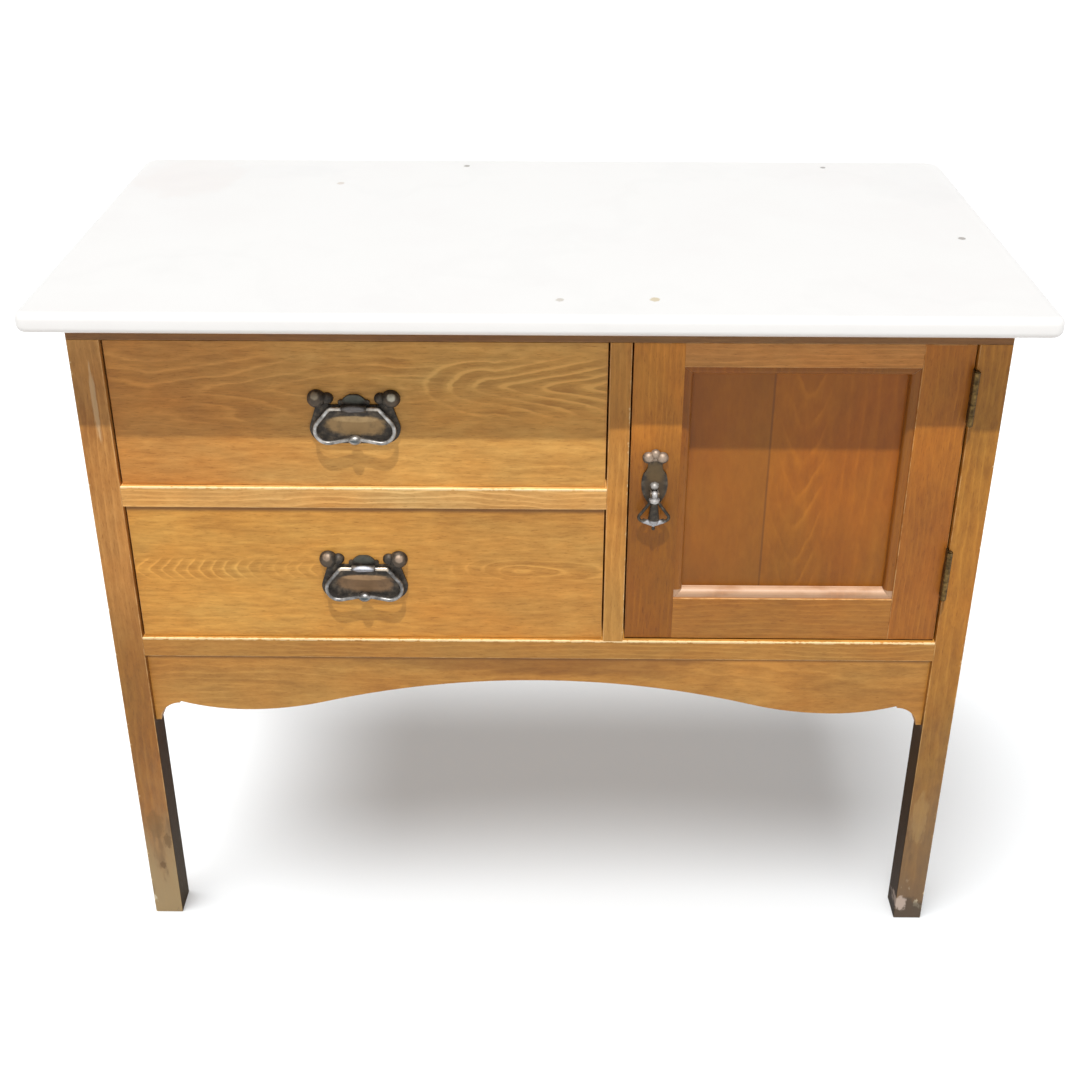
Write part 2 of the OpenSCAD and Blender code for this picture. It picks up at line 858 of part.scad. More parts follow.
// Outline of the cast plate: a bell-shaped body, two necks with bosses and a pointed crest
module handle_outline() {
    crest_h = 13.5;
    crest_w = 12.8;
    crest_foot = 0.5;
    rise = crest_h - crest_foot;
    crest_off = (rise * rise - crest_w * crest_w) / (2 * crest_w);
    both_sides() {
        translate([body_x, body_y])
            circle(r = body_r, $fn = fine_fn);
        translate([boss_x, boss_y])
            circle(r = boss_r - 0.6);
        translate([lobe_x, boss_y])
            circle(r = lobe_r - 0.4);
        polygon([
            [lobe_x - 2, -6],
            [body_x + 14.3, body_y + 6],
            [boss_x + 0.5, 4],
            [boss_x + 3, boss_y],
            [lobe_x, boss_y],
            [lobe_x - 0.8, 4]
        ]);
        translate([crest_w - 0.6, 5])
            circle(r = 2.6);
    }
    translate([-body_x, body_y - body_r])
        square([2 * body_x, body_r - body_y - 2]);
    translate([-lobe_x, -4])
        square([2 * lobe_x, 6.5]);
    intersection() {
        translate([-crest_off, crest_foot])
            circle(r = crest_w + crest_off);
        translate([crest_off, crest_foot])
            circle(r = crest_w + crest_off);
        translate([-crest_w, crest_foot - 1])
            square([2 * crest_w, crest_h]);
    }
}

// A domed boss, cut flat where it meets the wood
module dome(x, y, r, sink) {
    intersection() {
        translate([x, y, sink])
            sphere(r = r);
        translate([x - 2 * r, y - 2 * r, 0])
            cube(4 * r);
    }
}

module handle_plate(z) {
    color(dark_bronze)
        on_front(handle_x, handle_z(z))
            difference() {
                union() {
                    linear_extrude(height = plate_t)
                        handle_outline();
                    both_sides() {
                        dome(boss_x, boss_y, boss_r, 1);
                        dome(lobe_x, boss_y, lobe_r, 0.6);
                    }
                    translate([-barrel_len / 2, 0, bail_out])
                        rotate([0, 90, 0])
                            cylinder(h = barrel_len, r = barrel_r);
                }
                translate([0, body_y + 1, plate_t - dish_depth + dish_r]) {
                    translate([-dish_half, 0, 0])
                        rotate([0, 90, 0])
                            cylinder(h = 2 * dish_half, r = dish_r, $fn = long_fn);
                    for (side = [-1, 1])
                        translate([side * dish_half, 0, 0])
                            sphere(r = dish_r, $fn = long_fn / 2);
                }
                translate([-barrel_len / 2 - cut, 0, bail_out])
                    rotate([0, 90, 0])
                        cylinder(h = barrel_len + 2 * cut, r = bail_r + pivot_clear);
                for (side = [-1, 1])
                    translate([side * boss_x, boss_y, -cut])
                        cylinder(h = cut + 5, r = screw_r);
            }
}

// The screws come from inside the drawer and end in the bosses
module handle_screws(z) {
    color(old_brass)
        for (side = [-1, 1])
            on_front(handle_x + side * boss_x, handle_z(z) + boss_y)
                union() {
                    translate([0, 0, -drawer_front_t])
                        cylinder(h = drawer_front_t + 4.5, r = screw_r);
                    translate([0, 0, -drawer_front_t - 2])
                        cylinder(h = 2, r = screw_r + 2.2);
                }
}

// A low ring round a joint of the wire at p, along the unit direction d
module collar(p, d, r) {
    rod(p - 2 * wire_gap * d, p + 2 * wire_gap * d, r * wire_swell);
}

// Half of a stirrup of wire: from the bend at a, along a straight arm, round b, to the point e.
// The lengths of wire stop just short of each other inside the low ring at each joint.
module stirrup_half(a, ra, b, rb, e, r) {
    d = b - a;
    turn = atan2(d[1], d[0]) + acos((ra - rb) / norm(d));
    out = [cos(turn), sin(turn)];
    back = e - b;
    foot = atan2(back[1], back[0]) + acos(rb / norm(back));
    low = [cos(foot), sin(foot)];
    arm_top = a + ra * out;
    arm_end = b + rb * out;
    bar_end = b + rb * low;
    along = (arm_end - arm_top) / norm(arm_end - arm_top);
    inward = (e - bar_end) / norm(e - bar_end);
    joint_a = wire_gap / ra * 180 / PI;
    joint_b = wire_gap / rb * 180 / PI;
    bend(a, ra, turn + joint_a, 90 - joint_a, r);
    rod(arm_top + wire_gap * along, arm_end - wire_gap * along, r);
    bend(b, rb, foot + joint_b, turn - joint_b, r);
    rod(bar_end + wire_gap * inward, e - wire_gap * inward, r);
    collar(a + [0, ra], [1, 0], r);
    collar(arm_top, along, r);
    collar(arm_end, along, r);
    collar(bar_end, inward, r);
}

// A spindle-shaped bead on the X axis, of half length a and radius r
module bead(a, r) {
    big = (a * a + r * r) / (2 * r);
    rotate([0, 90, 0])
        rotate_extrude(angle = 360)
            intersection() {
                translate([r - big, 0])
                    circle(r = big, $fn = fine_fn);
                translate([0, -a])
                    square([r, 2 * a]);
            }
}

module handle_bail(z) {
    b = [bail_half_w - bail_corner_r, -bail_drop + bail_corner_r];
    color(worn_steel)
        on_front(handle_x, handle_z(z))
            translate([0, 0, bail_out])
                rotate([-bail_lean, 0, 0])
                    union() {
                        rod([-bail_bend_x + wire_gap, 0], [bail_bend_x - wire_gap, 0], bail_r);
                        both_sides()
                            stirrup_half([bail_bend_x, -bend_r], bend_r, b, bail_corner_r,
                                         [1, -bail_drop + bail_rise], bail_r);
                        translate([0, -bail_drop + bail_rise - bead_sag, 0])
                            bead(bead_x, bead_r);
                    }
}

module upper_handle_plate() { handle_plate(upper_z); }
module upper_handle_screws() { handle_screws(upper_z); }
module upper_handle_bail() { handle_bail(upper_z); }
module lower_handle_plate() { handle_plate(lower_z); }
module lower_handle_screws() { handle_screws(lower_z); }
module lower_handle_bail() { handle_bail(lower_z); }

// ---------- door ----------

// The panel with the edges that lie in the grooves; play widens it to the grooves themselves
module panel_blank(play) {
    reach = panel_tongue + play;
    block([light_x0 - reach, panel_y, light_z0 - reach],
          [light_x1 + reach, panel_y + panel_t, light_z1 + reach]);
}

// The tenons of the rail between z0 and z1, one at each end
module door_tenons(z0, z1) {
    mid = face_y + door_t / 2 + 3;
    shoulder = (z1 - z0) / 5;
    for (x = [[light_x0 - door_tenon_len, light_x0 + cut], [light_x1 - cut, light_x1 + door_tenon_len]])
        block([x[0], mid - door_tenon_t / 2, z0 + shoulder],
              [x[1], mid + door_tenon_t / 2, z1 - shoulder]);
}

module door_stile_left() {
    color(red_wood)
        difference() {
            block([door_x0, face_y, door_z0], [light_x0, face_y + door_t, door_z1]);
            panel_blank(groove_play);
            door_tenons(door_z0, light_z0);
            door_tenons(light_z1, door_z1);
            translate([door_x0 - cut, catch_y, catch_z])
                rotate([0, 90, 0])
                    cylinder(h = catch_len + cut, r = catch_r + catch_play);
            for (y = [head_y, drop_low_screw])
                on_front(drop_x, door_z0 + drop_z + y)
                    translate([0, 0, -door_t - cut])
                        cylinder(h = door_t + 2 * cut, r = screw_r + 0.4);
        }
}

module door_stile_right() {
    color(red_wood)
        difference() {
            block([light_x1, face_y, door_z0], [door_x1, face_y + door_t, door_z1]);
            panel_blank(groove_play);
            door_tenons(door_z0, light_z0);
            door_tenons(light_z1, door_z1);
            hinge_pockets();
        }
}

module door_rail(z0, z1) {
    color(red_wood)
        difference() {
            union() {
                block([light_x0, face_y, z0], [light_x1, face_y + door_t, z1]);
                door_tenons(z0, z1);
            }
            panel_blank(groove_play);
        }
}

module door_rail_top() { door_rail(light_z1, door_z1); }
module door_rail_bottom() { door_rail(door_z0, light_z0); }

module door_panel() {
    color(red_wood)
        panel_blank(0);
}

// Section of the moulding: flat on the frame and the panel, hollow and round on its face
module mould_section() {
    h = panel_recess - 1.5;
    round_r = mould_w * 0.62;
    difference() {
        union() {
            square([mould_w, 2]);
            square([mould_w - round_r, h]);
            intersection() {
                translate([mould_w - round_r, h - round_r])
                    circle(r = round_r);
                square([mould_w, h]);
            }
            square([mould_w - 1.2, h - round_r]);
        }
        translate([-cut, -cut])
            square([cut, h]);
    }
}

// One mitred strip of moulding, of the given length, with its outer arris along X
module mould_strip(length) {
    mitre = 0.1;
    reach = mould_w + cut;
    intersection() {
        translate([length, 0, 0])
            rotate([90, 0, -90])
                linear_extrude(height = length)
                    mould_section();
        translate([0, 0, -cut])
            linear_extrude(height = panel_recess + 2 * cut)
                polygon([
                    [mitre, 0], [length - mitre, 0],
                    [length - mitre - reach, -reach], [mitre + reach, -reach]
                ]);
    }
}

// The strips are drawn with the panel as XY and Z out of the door, then stood on the panel
module door_moulding() {
    w = light_x1 - light_x0;
    h = light_z1 - light_z0;
    color(red_wood)
        translate([light_x0, panel_y, light_z0])
            rotate([90, 0, 0]) {
                translate([0, h, 0])
                    mould_strip(w);
                translate([w, 0, 0])
                    rotate([0, 0, 180])
                        mould_strip(w);
                rotate([0, 0, 90])
                    mould_strip(h);
                translate([w, h, 0])
                    rotate([0, 0, -90])
                        mould_strip(h);
            }
}

// ---------- hinges and catch ----------

// Room for both leaves of each hinge, let into the leg and the door
module hinge_pockets() {
    for (z = hinge_zs)
        block([door_x1 - leaf_t, case_front - cut, z], [bay_x + leaf_t, leaf_y + leaf_w, z + hinge_h]);
}

// One leaf at level z: its plate from x to x + leaf_t, and knuckles first, first + 2, ...
module hinge_leaf(x, z, first) {
    part_h = hinge_h / knuckle_count;
    difference() {
        union() {
            block([x, leaf_y, z], [x + leaf_t, leaf_y + leaf_w, z + hinge_h]);
            for (i = [first : 2 : knuckle_count - 1]) {
                translate([hinge_x, hinge_y, z + i * part_h + knuckle_play])
                    cylinder(h = part_h - 2 * knuckle_play, r = knuckle_r);
                block([x, hinge_y, z + i * part_h + knuckle_play],
                      [x + leaf_t, leaf_y + cut, z + (i + 1) * part_h - knuckle_play]);
            }
        }
        translate([hinge_x, hinge_y, z - cut])
            cylinder(h = hinge_h + 2 * cut, r = hinge_pin_r + pin_play);
    }
}

module hinge_leaves_fixed() {
    color(old_brass)
        for (z = hinge_zs)
            hinge_leaf(bay_x, z, 0);
}

module hinge_leaves_moving() {
    color(old_brass)
        for (z = hinge_zs)
            hinge_leaf(door_x1 - leaf_t, z, 1);
}

// Each pin has a small round head above and below its hinge
module hinge_pins() {
    head_t = 1;
    color(old_brass)
        for (z = hinge_zs)
            translate([hinge_x, hinge_y, z])
                union() {
                    translate([0, 0, -head_t])
                        cylinder(h = hinge_h + 2 * head_t, r = hinge_pin_r);
                    for (end = [-head_t, hinge_h])
                        translate([0, 0, end])
                            cylinder(h = head_t, r = hinge_pin_r + 0.8);
                }
}

module ball_catch() {
    color(old_brass)
        translate([door_x0, catch_y, catch_z])
            rotate([0, 90, 0])
                union() {
                    cylinder(h = catch_len, r = catch_r);
                    translate([0, 0, catch_ball_r - catch_out])
                        sphere(r = catch_ball_r);
                }
}

// The plate that receives the ball, let into the post
module strike_blank(hole) {
    difference() {
        block([cup_x - strike_t, catch_y - catch_r - 2, catch_z - 15],
              [cup_x + (hole > 0 ? 0 : cut), catch_y + catch_r + 2, catch_z + 15]);
        if (hole > 0)
            translate([cup_x - strike_t - cut, catch_y, catch_z])
                rotate([0, 90, 0])
                    cylinder(h = strike_t + 2 * cut, r = hole);
    }
}

module strike_plate() {
    color(old_brass)
        strike_blank(2);
}

// ---------- door handle ----------

// Outline of the cast plate: a head of three lobes, a neck and a shield that narrows downwards
module shield_outline() {
    neck = [6.8, 27];
    flank_r = 34;
    shield_w = 12.5;
    shield_y = 8;
    shield_low = 19;
    both_sides() {
        translate([6.6, head_y - 1.5])
            circle(r = 5.5);
        // The body: one long arc, with a hollow up to the neck
        difference() {
            intersection() {
                translate([-flank_r + shield_w, shield_y])
                    circle(r = flank_r, $fn = fine_fn);
                translate([0, -shield_low])
                    square([shield_w + cut, neck[1] + shield_low]);
            }
            translate([neck[0] + 12.9, neck[1] + 1.5])
                circle(r = 13, $fn = fine_fn);
        }
        translate([0, neck[1] - 1])
            square([neck[0], head_y - neck[1]]);
    }
    translate([0, head_y + 2.5])
        circle(r = 4.4);
    translate([0, -17])
        circle(r = 3);
}

// An ear beside the eye of the drop, rooted in the plate
module drop_ear(x) {
    translate([x - ear_t / 2, 0, 0])
        rotate([90, 0, 90])
            linear_extrude(height = ear_t) {
                translate([0, drop_out])
                    circle(r = 3);
                translate([-3, 0])
                    square([6, drop_out]);
            }
}

module door_handle_plate() {
    ear_x = (ear_gap + ear_t) / 2;
    color(dark_bronze)
        on_front(drop_x, door_z0 + drop_z)
            difference() {
                union() {
                    linear_extrude(height = plate_t)
                        shield_outline();
                    both_sides() {
                        dome(6.6, head_y - 1.5, 5.7, 0.4);
                        drop_ear(ear_x);
                    }
                    dome(0, head_y + 2.5, 4.6, 0.6);
                    dome(0, 5.8, 3.8, plate_t);
                    translate([-ear_x, 0, drop_out])
                        rotate([0, 90, 0])
                            cylinder(h = 2 * ear_x, r = drop_pin_r);
                }
                for (y = [head_y, drop_low_screw])
                    translate([0, y, -cut])
                        cylinder(h = cut + 1.8, r = screw_r);
            }
}

module door_handle_screws() {
    color(old_brass)
        for (y = [head_y, drop_low_screw])
            on_front(drop_x, door_z0 + drop_z + y)
                union() {
                    translate([0, 0, -door_t])
                        cylinder(h = door_t + 1.5, r = screw_r);
                    translate([0, 0, -door_t - 2])
                        cylinder(h = 2, r = screw_r + 2.2);
                }
}

// The drop: an eye on the pin, a hood, a stem that swells downwards, two wires and a lower bar
module door_handle_drop() {
    wire_r = 1.5;
    hood_r = 5.1;
    bar_r = 2.3;
    corner_r = 4;
    corner = [10.3, -drop_len + 7.5];
    tip = [0, -drop_len];
    color(worn_steel)
        on_front(drop_x, door_z0 + drop_z)
            translate([0, 0, drop_out])
                difference() {
                    union() {
                        intersection() {
                            rotate([0, 90, 0])
                                sphere(r = eye_r);
                            cube([eye_w, 3 * eye_r, 3 * eye_r], center = true);
                        }
                        rotate([90, 0, 0])
                            rotate_extrude(angle = 360)
                                polygon([
                                    [0, eye_r - 1], [1.9, eye_r - 1], [2.3, eye_r + 0.4],
                                    [hood_r, eye_r + 1.6], [hood_r, eye_r + 3.6], [3.2, eye_r + 5],
                                    [5.4, drop_len - 6], [4.2, drop_len - 1.5], [0, drop_len - 1.5]
                                ]);
                        both_sides() {
                            stirrup_half([1, -8], 2, corner, corner_r, tip + [1, 0], wire_r);
                            rod([corner[0], corner[1] - corner_r + 0.4], tip + [0.5, 0], bar_r);
                        }
                        translate([0, -drop_len, 0])
                            rotate([90, 0, 0])
                                sphere(r = 2.6);
                        translate([0, -drop_len - 5, 0])
                            rotate([90, 0, 0])
                                sphere(r = 1.8);
                        rod([0, -drop_len], [0, -drop_len - 5], 1.1);
                    }
                    rotate([0, 90, 0])
                        cylinder(h = 4 * eye_w, r = drop_pin_r + pivot_clear, center = true);
                }
}

// ---------- the pieces ----------

marble_top();
leg_front_left();
leg_front_right();
leg_back_left();
leg_back_right();
top_rail_front();
top_rail_back();
top_rail_left();
top_rail_right();
top_bearer_centre();
drawer_rail();
bottom_rail_front();
bottom_rail_back();
centre_post();
partition();
side_panel_left();
side_panel_right();
back_boards();
cupboard_floor();
floor_cleats();
runner_upper_left();
runner_upper_right();
runner_lower_left();
runner_lower_right();
drawer_stops();
apron();
glue_blocks();
hinge_leaves_fixed();
hinge_pins();
strike_plate();
upper_drawer_front();
upper_drawer_side_left();
upper_drawer_side_right();
upper_drawer_back();
upper_drawer_bottom();
upper_handle_plate();
upper_handle_screws();
upper_handle_bail();
lower_drawer_front();
lower_drawer_side_left();
lower_drawer_side_right();
lower_drawer_back();
lower_drawer_bottom();
lower_handle_plate();
lower_handle_screws();
lower_handle_bail();
door_stile_left();
door_stile_right();
door_rail_top();
door_rail_bottom();
door_panel();
door_moulding();
hinge_leaves_moving();
ball_catch();
door_handle_plate();
door_handle_screws();
door_handle_drop();
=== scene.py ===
"""Looks of a marble-topped washstand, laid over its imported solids.

Lengths are metres. X runs along the front, Y from the front to the back and Z upwards, with the origin
on the floor under the middle of the marble. Colours are written as six hexadecimal figures.
"""

import json
import logging
import math
from collections.abc import Sequence
from dataclasses import dataclass
from enum import Enum
from typing import ClassVar

import bmesh
import bpy
from mathutils import Matrix, Vector
from mathutils.bvhtree import BVHTree

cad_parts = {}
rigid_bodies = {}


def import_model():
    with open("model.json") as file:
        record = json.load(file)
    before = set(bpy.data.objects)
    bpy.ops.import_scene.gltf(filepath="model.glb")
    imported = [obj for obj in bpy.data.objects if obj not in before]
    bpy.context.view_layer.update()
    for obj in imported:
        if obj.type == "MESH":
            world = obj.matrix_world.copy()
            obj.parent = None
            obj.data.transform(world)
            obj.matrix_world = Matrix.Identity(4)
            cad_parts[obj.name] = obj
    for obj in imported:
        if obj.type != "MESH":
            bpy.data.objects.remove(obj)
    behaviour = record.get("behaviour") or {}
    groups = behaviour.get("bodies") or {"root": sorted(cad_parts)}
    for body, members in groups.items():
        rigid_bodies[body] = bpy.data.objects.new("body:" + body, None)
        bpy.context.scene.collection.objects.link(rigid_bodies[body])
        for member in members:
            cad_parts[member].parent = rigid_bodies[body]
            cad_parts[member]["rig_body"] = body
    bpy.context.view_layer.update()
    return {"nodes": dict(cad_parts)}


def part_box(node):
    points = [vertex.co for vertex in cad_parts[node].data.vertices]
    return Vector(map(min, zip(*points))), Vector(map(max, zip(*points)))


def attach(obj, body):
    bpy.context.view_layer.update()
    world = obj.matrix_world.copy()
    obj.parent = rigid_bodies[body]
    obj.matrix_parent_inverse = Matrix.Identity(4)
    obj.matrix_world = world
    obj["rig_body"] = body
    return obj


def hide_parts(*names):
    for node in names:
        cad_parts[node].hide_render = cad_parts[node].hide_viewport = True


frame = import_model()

log = logging.getLogger("washstand")

Socket = bpy.types.NodeSocket
Thing = bpy.types.Object
Colour = tuple[float, float, float, float]
Place = tuple[float, float, float]
Mark = tuple[Place, Place, str, float]

# Corners of a copied mesh that lie nearer than this are one
SAME: float = 0.000005
ORIGIN: Place = (0.0, 0.0, 0.0)
WHITE: Colour = (1.0, 1.0, 1.0, 1.0)


def tone(code: str) -> Colour:
    """Turns a six-figure colour into the linear one that a shader takes.

    Args:
        code: the colour as six hexadecimal figures.

    Returns:
        The linear colour, opaque.
    """
    parts = [int(code[i : i + 2], 16) / 255 for i in (0, 2, 4)]
    linear = [c / 12.92 if c <= 0.04045 else ((c + 0.055) / 1.055) ** 2.4 for c in parts]
    return (linear[0], linear[1], linear[2], 1.0)


class Grain(Enum):
    """The way that a board's grain runs, as the order of coordinates that puts it first."""

    ACROSS = (0, 2, 1)
    DEEP = (1, 0, 2)
    UPRIGHT = (2, 0, 1)


ACROSS, DEEP, UP = Grain.ACROSS, Grain.DEEP, Grain.UPRIGHT


class Graph:
    """A short way to lay out the nodes of a material or of a group."""

    def __init__(self, tree: bpy.types.NodeTree) -> None:
        """Starts on the given tree, which is emptied."""
        self.tree = tree
        tree.nodes.clear()

    def add(self, kind: str, *values: object, **settings: object) -> bpy.types.Node:
        """Adds a node.

        Args:
            kind: the node's type, without its first words.
            values: sockets or plain values for its first inputs, in order.
            settings: its properties by name.

        Returns:
            The new node.
        """
        made = self.tree.nodes.new("ShaderNode" + kind)
        for name, value in settings.items():
            setattr(made, name, value)
        for value, target in zip(values, made.inputs):
            self.join(value, target)
        return made

    def join(self, source: object, target: Socket) -> None:
        """Links a socket to another, or sets the other's value where the source is plain.

        Args:
            source: the socket or value to take.
            target: the input that takes it.
        """
        if isinstance(source, Socket):
            self.tree.links.new(source, target)
        else:
            target.default_value = source

    def maths(self, what: str, *values: object, clamp: bool = False) -> Socket:
        """Works out a number by the named operation, which clamp keeps between 0 and 1."""
        return self.add("Math", *values, operation=what, use_clamp=clamp).outputs[0]

    def times(self, *values: object, clamp: bool = False) -> Socket:
        """Multiplies two numbers, whose product clamp keeps between 0 and 1."""
        return self.maths("MULTIPLY", *values, clamp=clamp)

    def vector(self, what: str, *values: object) -> Socket:
        """Works out a vector, or a number for LENGTH, by the named operation."""
        step = self.add("VectorMath", *values, operation=what)
        return step.outputs["Value" if what == "LENGTH" else "Vector"]

    def split(self, place: object) -> Sequence[Socket]:
        """Takes a vector apart into the sockets of its X, Y and Z."""
        return self.add("SeparateXYZ", place).outputs

    def facing(self) -> Sequence[Socket]:
        """Reads which way the surface faces, as the sockets of its normal's X, Y and Z."""
        return self.split(self.add("TexCoord").outputs["Normal"])

    def blend(self, share: object, first: object, second: object, how: str = "MIX") -> Socket:
        """Mixes two colours.

        Args:
            share: how much of the second shows.
            first: the colour underneath.
            second: the colour laid on it.
            how: the way of mixing.

        Returns:
            The mixed colour's socket.
        """
        step = self.add("Mix", share, data_type="RGBA", blend_type=how)
        self.join(first, step.inputs[6])
        self.join(second, step.inputs[7])
        return step.outputs[2]

    def noise(self, place: object, scale: float, detail: float = 3.0, rough: float = 0.5) -> Socket:
        """Makes soft random values about one half.

        Args:
            place: the vector to read them at.
            scale: how many cells there are to a unit.
            detail: how many finer layers are added.
            rough: how strong the finer layers are.

        Returns:
            The value's socket.
        """
        step = self.add("TexNoise", place)
        for name, number in (("Scale", scale), ("Detail", detail), ("Roughness", rough)):
            step.inputs[name].default_value = number
        return step.outputs["Fac"]

    def streaks(self, place: object, cells: Place, detail: float = 3.0, rough: float = 0.5) -> Socket:
        """Makes noise that has its own number of cells to a metre along each axis."""
        return self.noise(self.vector("MULTIPLY", place, cells), 1.0, detail, rough)

    def swing(self, value: object, factor: object) -> Socket:
        """Turns noise about one half into a swing about zero, which the factor widens."""
        return self.times(self.maths("SUBTRACT", value, 0.5), factor)

    def swung(self, base: object, value: object, factor: object) -> Socket:
        """Adds to a base the swing about zero of noise about one half, which the factor widens."""
        return self.maths("MULTIPLY_ADD", self.maths("SUBTRACT", value, 0.5), factor, base)

    def ramp(self, value: object, *stops: tuple[float, Colour], soft: bool = False) -> Socket:
        """Turns a value into a colour.

        Args:
            value: the socket to read.
            stops: places from 0 to 1, each with its colour.
            soft: eases between the stops.

        Returns:
            The colour's socket.
        """
        step = self.add("ValToRGB", value)
        bar = step.color_ramp
        bar.interpolation = "EASE" if soft else "LINEAR"
        while len(bar.elements) < len(stops):
            bar.elements.new(0.5)
        for element, (place, colour) in zip(bar.elements, stops):
            element.position = place
            element.color = colour
        return step.outputs["Color"]

    def rise(self, value: object, low: float, high: float, start: float = 0.0, end: float = 1.0) -> Socket:
        """Maps a value between low and high smoothly onto start to end, and holds it beyond them."""
        step = self.add("MapRange", value, low, high, start, end, interpolation_type="SMOOTHSTEP")
        return step.outputs["Result"]

    def seen(self) -> Socket:
        """Tells the rays that show a surface to the eye from those that carry its light.

        Returns:
            A socket that is 1 for camera, glossy and transmission rays and 0 for the others.
        """
        path = self.add("LightPath").outputs
        bent = self.maths("MAXIMUM", path["Is Glossy Ray"], path["Is Transmission Ray"])
        return self.maths("MAXIMUM", path["Is Camera Ray"], bent)


class Effects:
    """The effects that several finishes share, each a node group built once."""

    # One growth ring from its start to the next: pale early wood that fades into the ground
    RING: ClassVar[tuple[tuple[float, float], ...]] = ((0.0, 0.0), (0.17, 1.0), (0.4, 0.28), (0.62, 0.0), (1.0, 0.0))

    def __init__(self) -> None:
        """Builds every group."""
        self.rings = self._rings()
        self.body = self._body()
        self.arris = self._arris()
        self.chips = self._chips()
        self.spot = self._spot()

    @staticmethod
    def _group(
        name: str, gives: tuple[str, ...], **takes: float | Place
    ) -> tuple[Graph, Sequence[Socket], Sequence[Socket]]:
        """Starts a group that reads a place.

        Args:
            name: the group's name.
            gives: the names of the outputs, all plain values.
            takes: the plain value of each input besides the place.

        Returns:
            The group's graph, what it is given and what it leaves, each by name.
        """
        tree = bpy.data.node_groups.new(name, "ShaderNodeTree")
        for label, plain in {"Place": ORIGIN, **takes}.items():
            kind = "NodeSocketVector" if isinstance(plain, tuple) else "NodeSocketFloat"
            tree.interface.new_socket(label, in_out="INPUT", socket_type=kind).default_value = plain
        for label in gives:
            tree.interface.new_socket(label, in_out="OUTPUT", socket_type="NodeSocketFloat")
        graph = Graph(tree)
        return graph, tree.nodes.new("NodeGroupInput").outputs, tree.nodes.new("NodeGroupOutput").inputs

    @staticmethod
    def _seeded(graph: Graph, given: Sequence[Socket]) -> Socket:
        """Moves a group's place by its seed along all three axes."""
        seed = given["Seed"]
        return graph.vector("ADD", given["Place"], graph.add("CombineXYZ", seed, seed, seed).outputs[0])

    def _rings(self) -> bpy.types.NodeTree:
        """Draws growth rings where a sawn face cuts them.

        The heart of the rings climbs at its own rate on either side of the centre, and the taper opens the
        rings along the board, which gives long lines, loops, flames or chevrons.

        Returns:
            The group.
        """
        graph, given, leave = self._group(
            "growth_rings", ("Rings",), Left=0.0, Right=0.0, Core=0.01, Taper=0.0, Spacing=0.004,
            Wander=0.01, Shake=0.002, Window=(1.0, 1.0, 1.0), Seed=0.0)
        maths, times = graph.maths, graph.times
        seeded = self._seeded(graph, given)
        sway = graph.swing(graph.streaks(seeded, (5.0, 20.0, 20.0), 2.0), given["Wander"])
        shake = graph.swing(graph.streaks(seeded, (26.0, 80.0, 80.0)), given["Shake"])
        along, across, down = graph.split(given["Place"])
        size = maths("ABSOLUTE", along)
        behind = times(maths("SUBTRACT", size, along), 0.5)
        ahead = times(maths("ADD", size, along), 0.5)
        depth = maths("MULTIPLY_ADD", ahead, given["Right"], maths("ADD", given["Core"], down))
        climb = maths("MULTIPLY_ADD", behind, given["Left"], depth)
        side = maths("ADD", across, sway)
        radius = maths("SQRT", maths("ADD", times(side, side), times(climb, climb)))
        level = maths("SUBTRACT", radius, times(size, given["Taper"]))
        turns = maths("DIVIDE", maths("ADD", level, shake), given["Spacing"])
        stops = ((place, (grey, grey, grey, 1.0)) for place, grey in self.RING)
        band = graph.ramp(maths("FRACT", turns), *tuple(stops), soft=True)
        cover = graph.rise(graph.streaks(seeded, (9.0, 30.0, 30.0), 2.0), 0.36, 0.6, 0.25, 1.0)
        left, right, wide = graph.split(given["Window"])
        far = maths("ADD", maths("DIVIDE", behind, left), maths("DIVIDE", ahead, right))
        off = graph.vector("LENGTH", graph.add("CombineXYZ", far, maths("DIVIDE", across, wide)).outputs[0])
        clear = times(cover, graph.rise(off, 0.6, 1.1, 1.0, 0.0))
        graph.join(times(maths("SUBTRACT", band, 0.25), clear), leave["Rings"])
        return graph.tree

    def _body(self) -> bpy.types.NodeTree:
        """Draws the fibres, short pores, blotches and warmer patches of wood.

        Returns:
            The group.
        """
        graph, given, leave = self._group("wood_body", ("Fibre", "Pores", "Blotch", "Warm"), Seed=0.0)
        seeded = self._seeded(graph, given)
        graph.join(graph.streaks(seeded, (42.0, 300.0, 300.0), 3.0, 0.6), leave["Fibre"])
        pores = graph.streaks(seeded, (130.0, 1300.0, 1300.0), 2.0)
        graph.join(graph.rise(pores, 0.58, 0.72), leave["Pores"])
        broad = graph.streaks(seeded, (8.0, 20.0, 20.0), 3.0, 0.55)
        small = graph.streaks(seeded, (50.0, 130.0, 130.0), 4.0, 0.65)
        graph.join(graph.times(graph.maths("ADD", broad, small), 0.5), leave["Blotch"])
        graph.join(graph.streaks(seeded, (6.0, 13.0, 13.0), 4.0, 0.6), leave["Warm"])
        return graph.tree

    def _arris(self) -> bpy.types.NodeTree:
        """Shows where the edge of a board is rubbed pale.

        Returns:
            The group.
        """
        graph, given, leave = self._group("rubbed_arris", ("Worn",), Amount=0.6)
        edge = graph.add("Attribute", attribute_name="arris").outputs["Fac"]
        broken = graph.rise(graph.noise(given["Place"], 70.0, 4.0, 0.6), 0.36, 0.62, 0.15, 1.0)
        worn = graph.times(edge, broken)
        graph.join(graph.times(worn, given["Amount"], clamp=True), leave["Worn"])
        return graph.tree

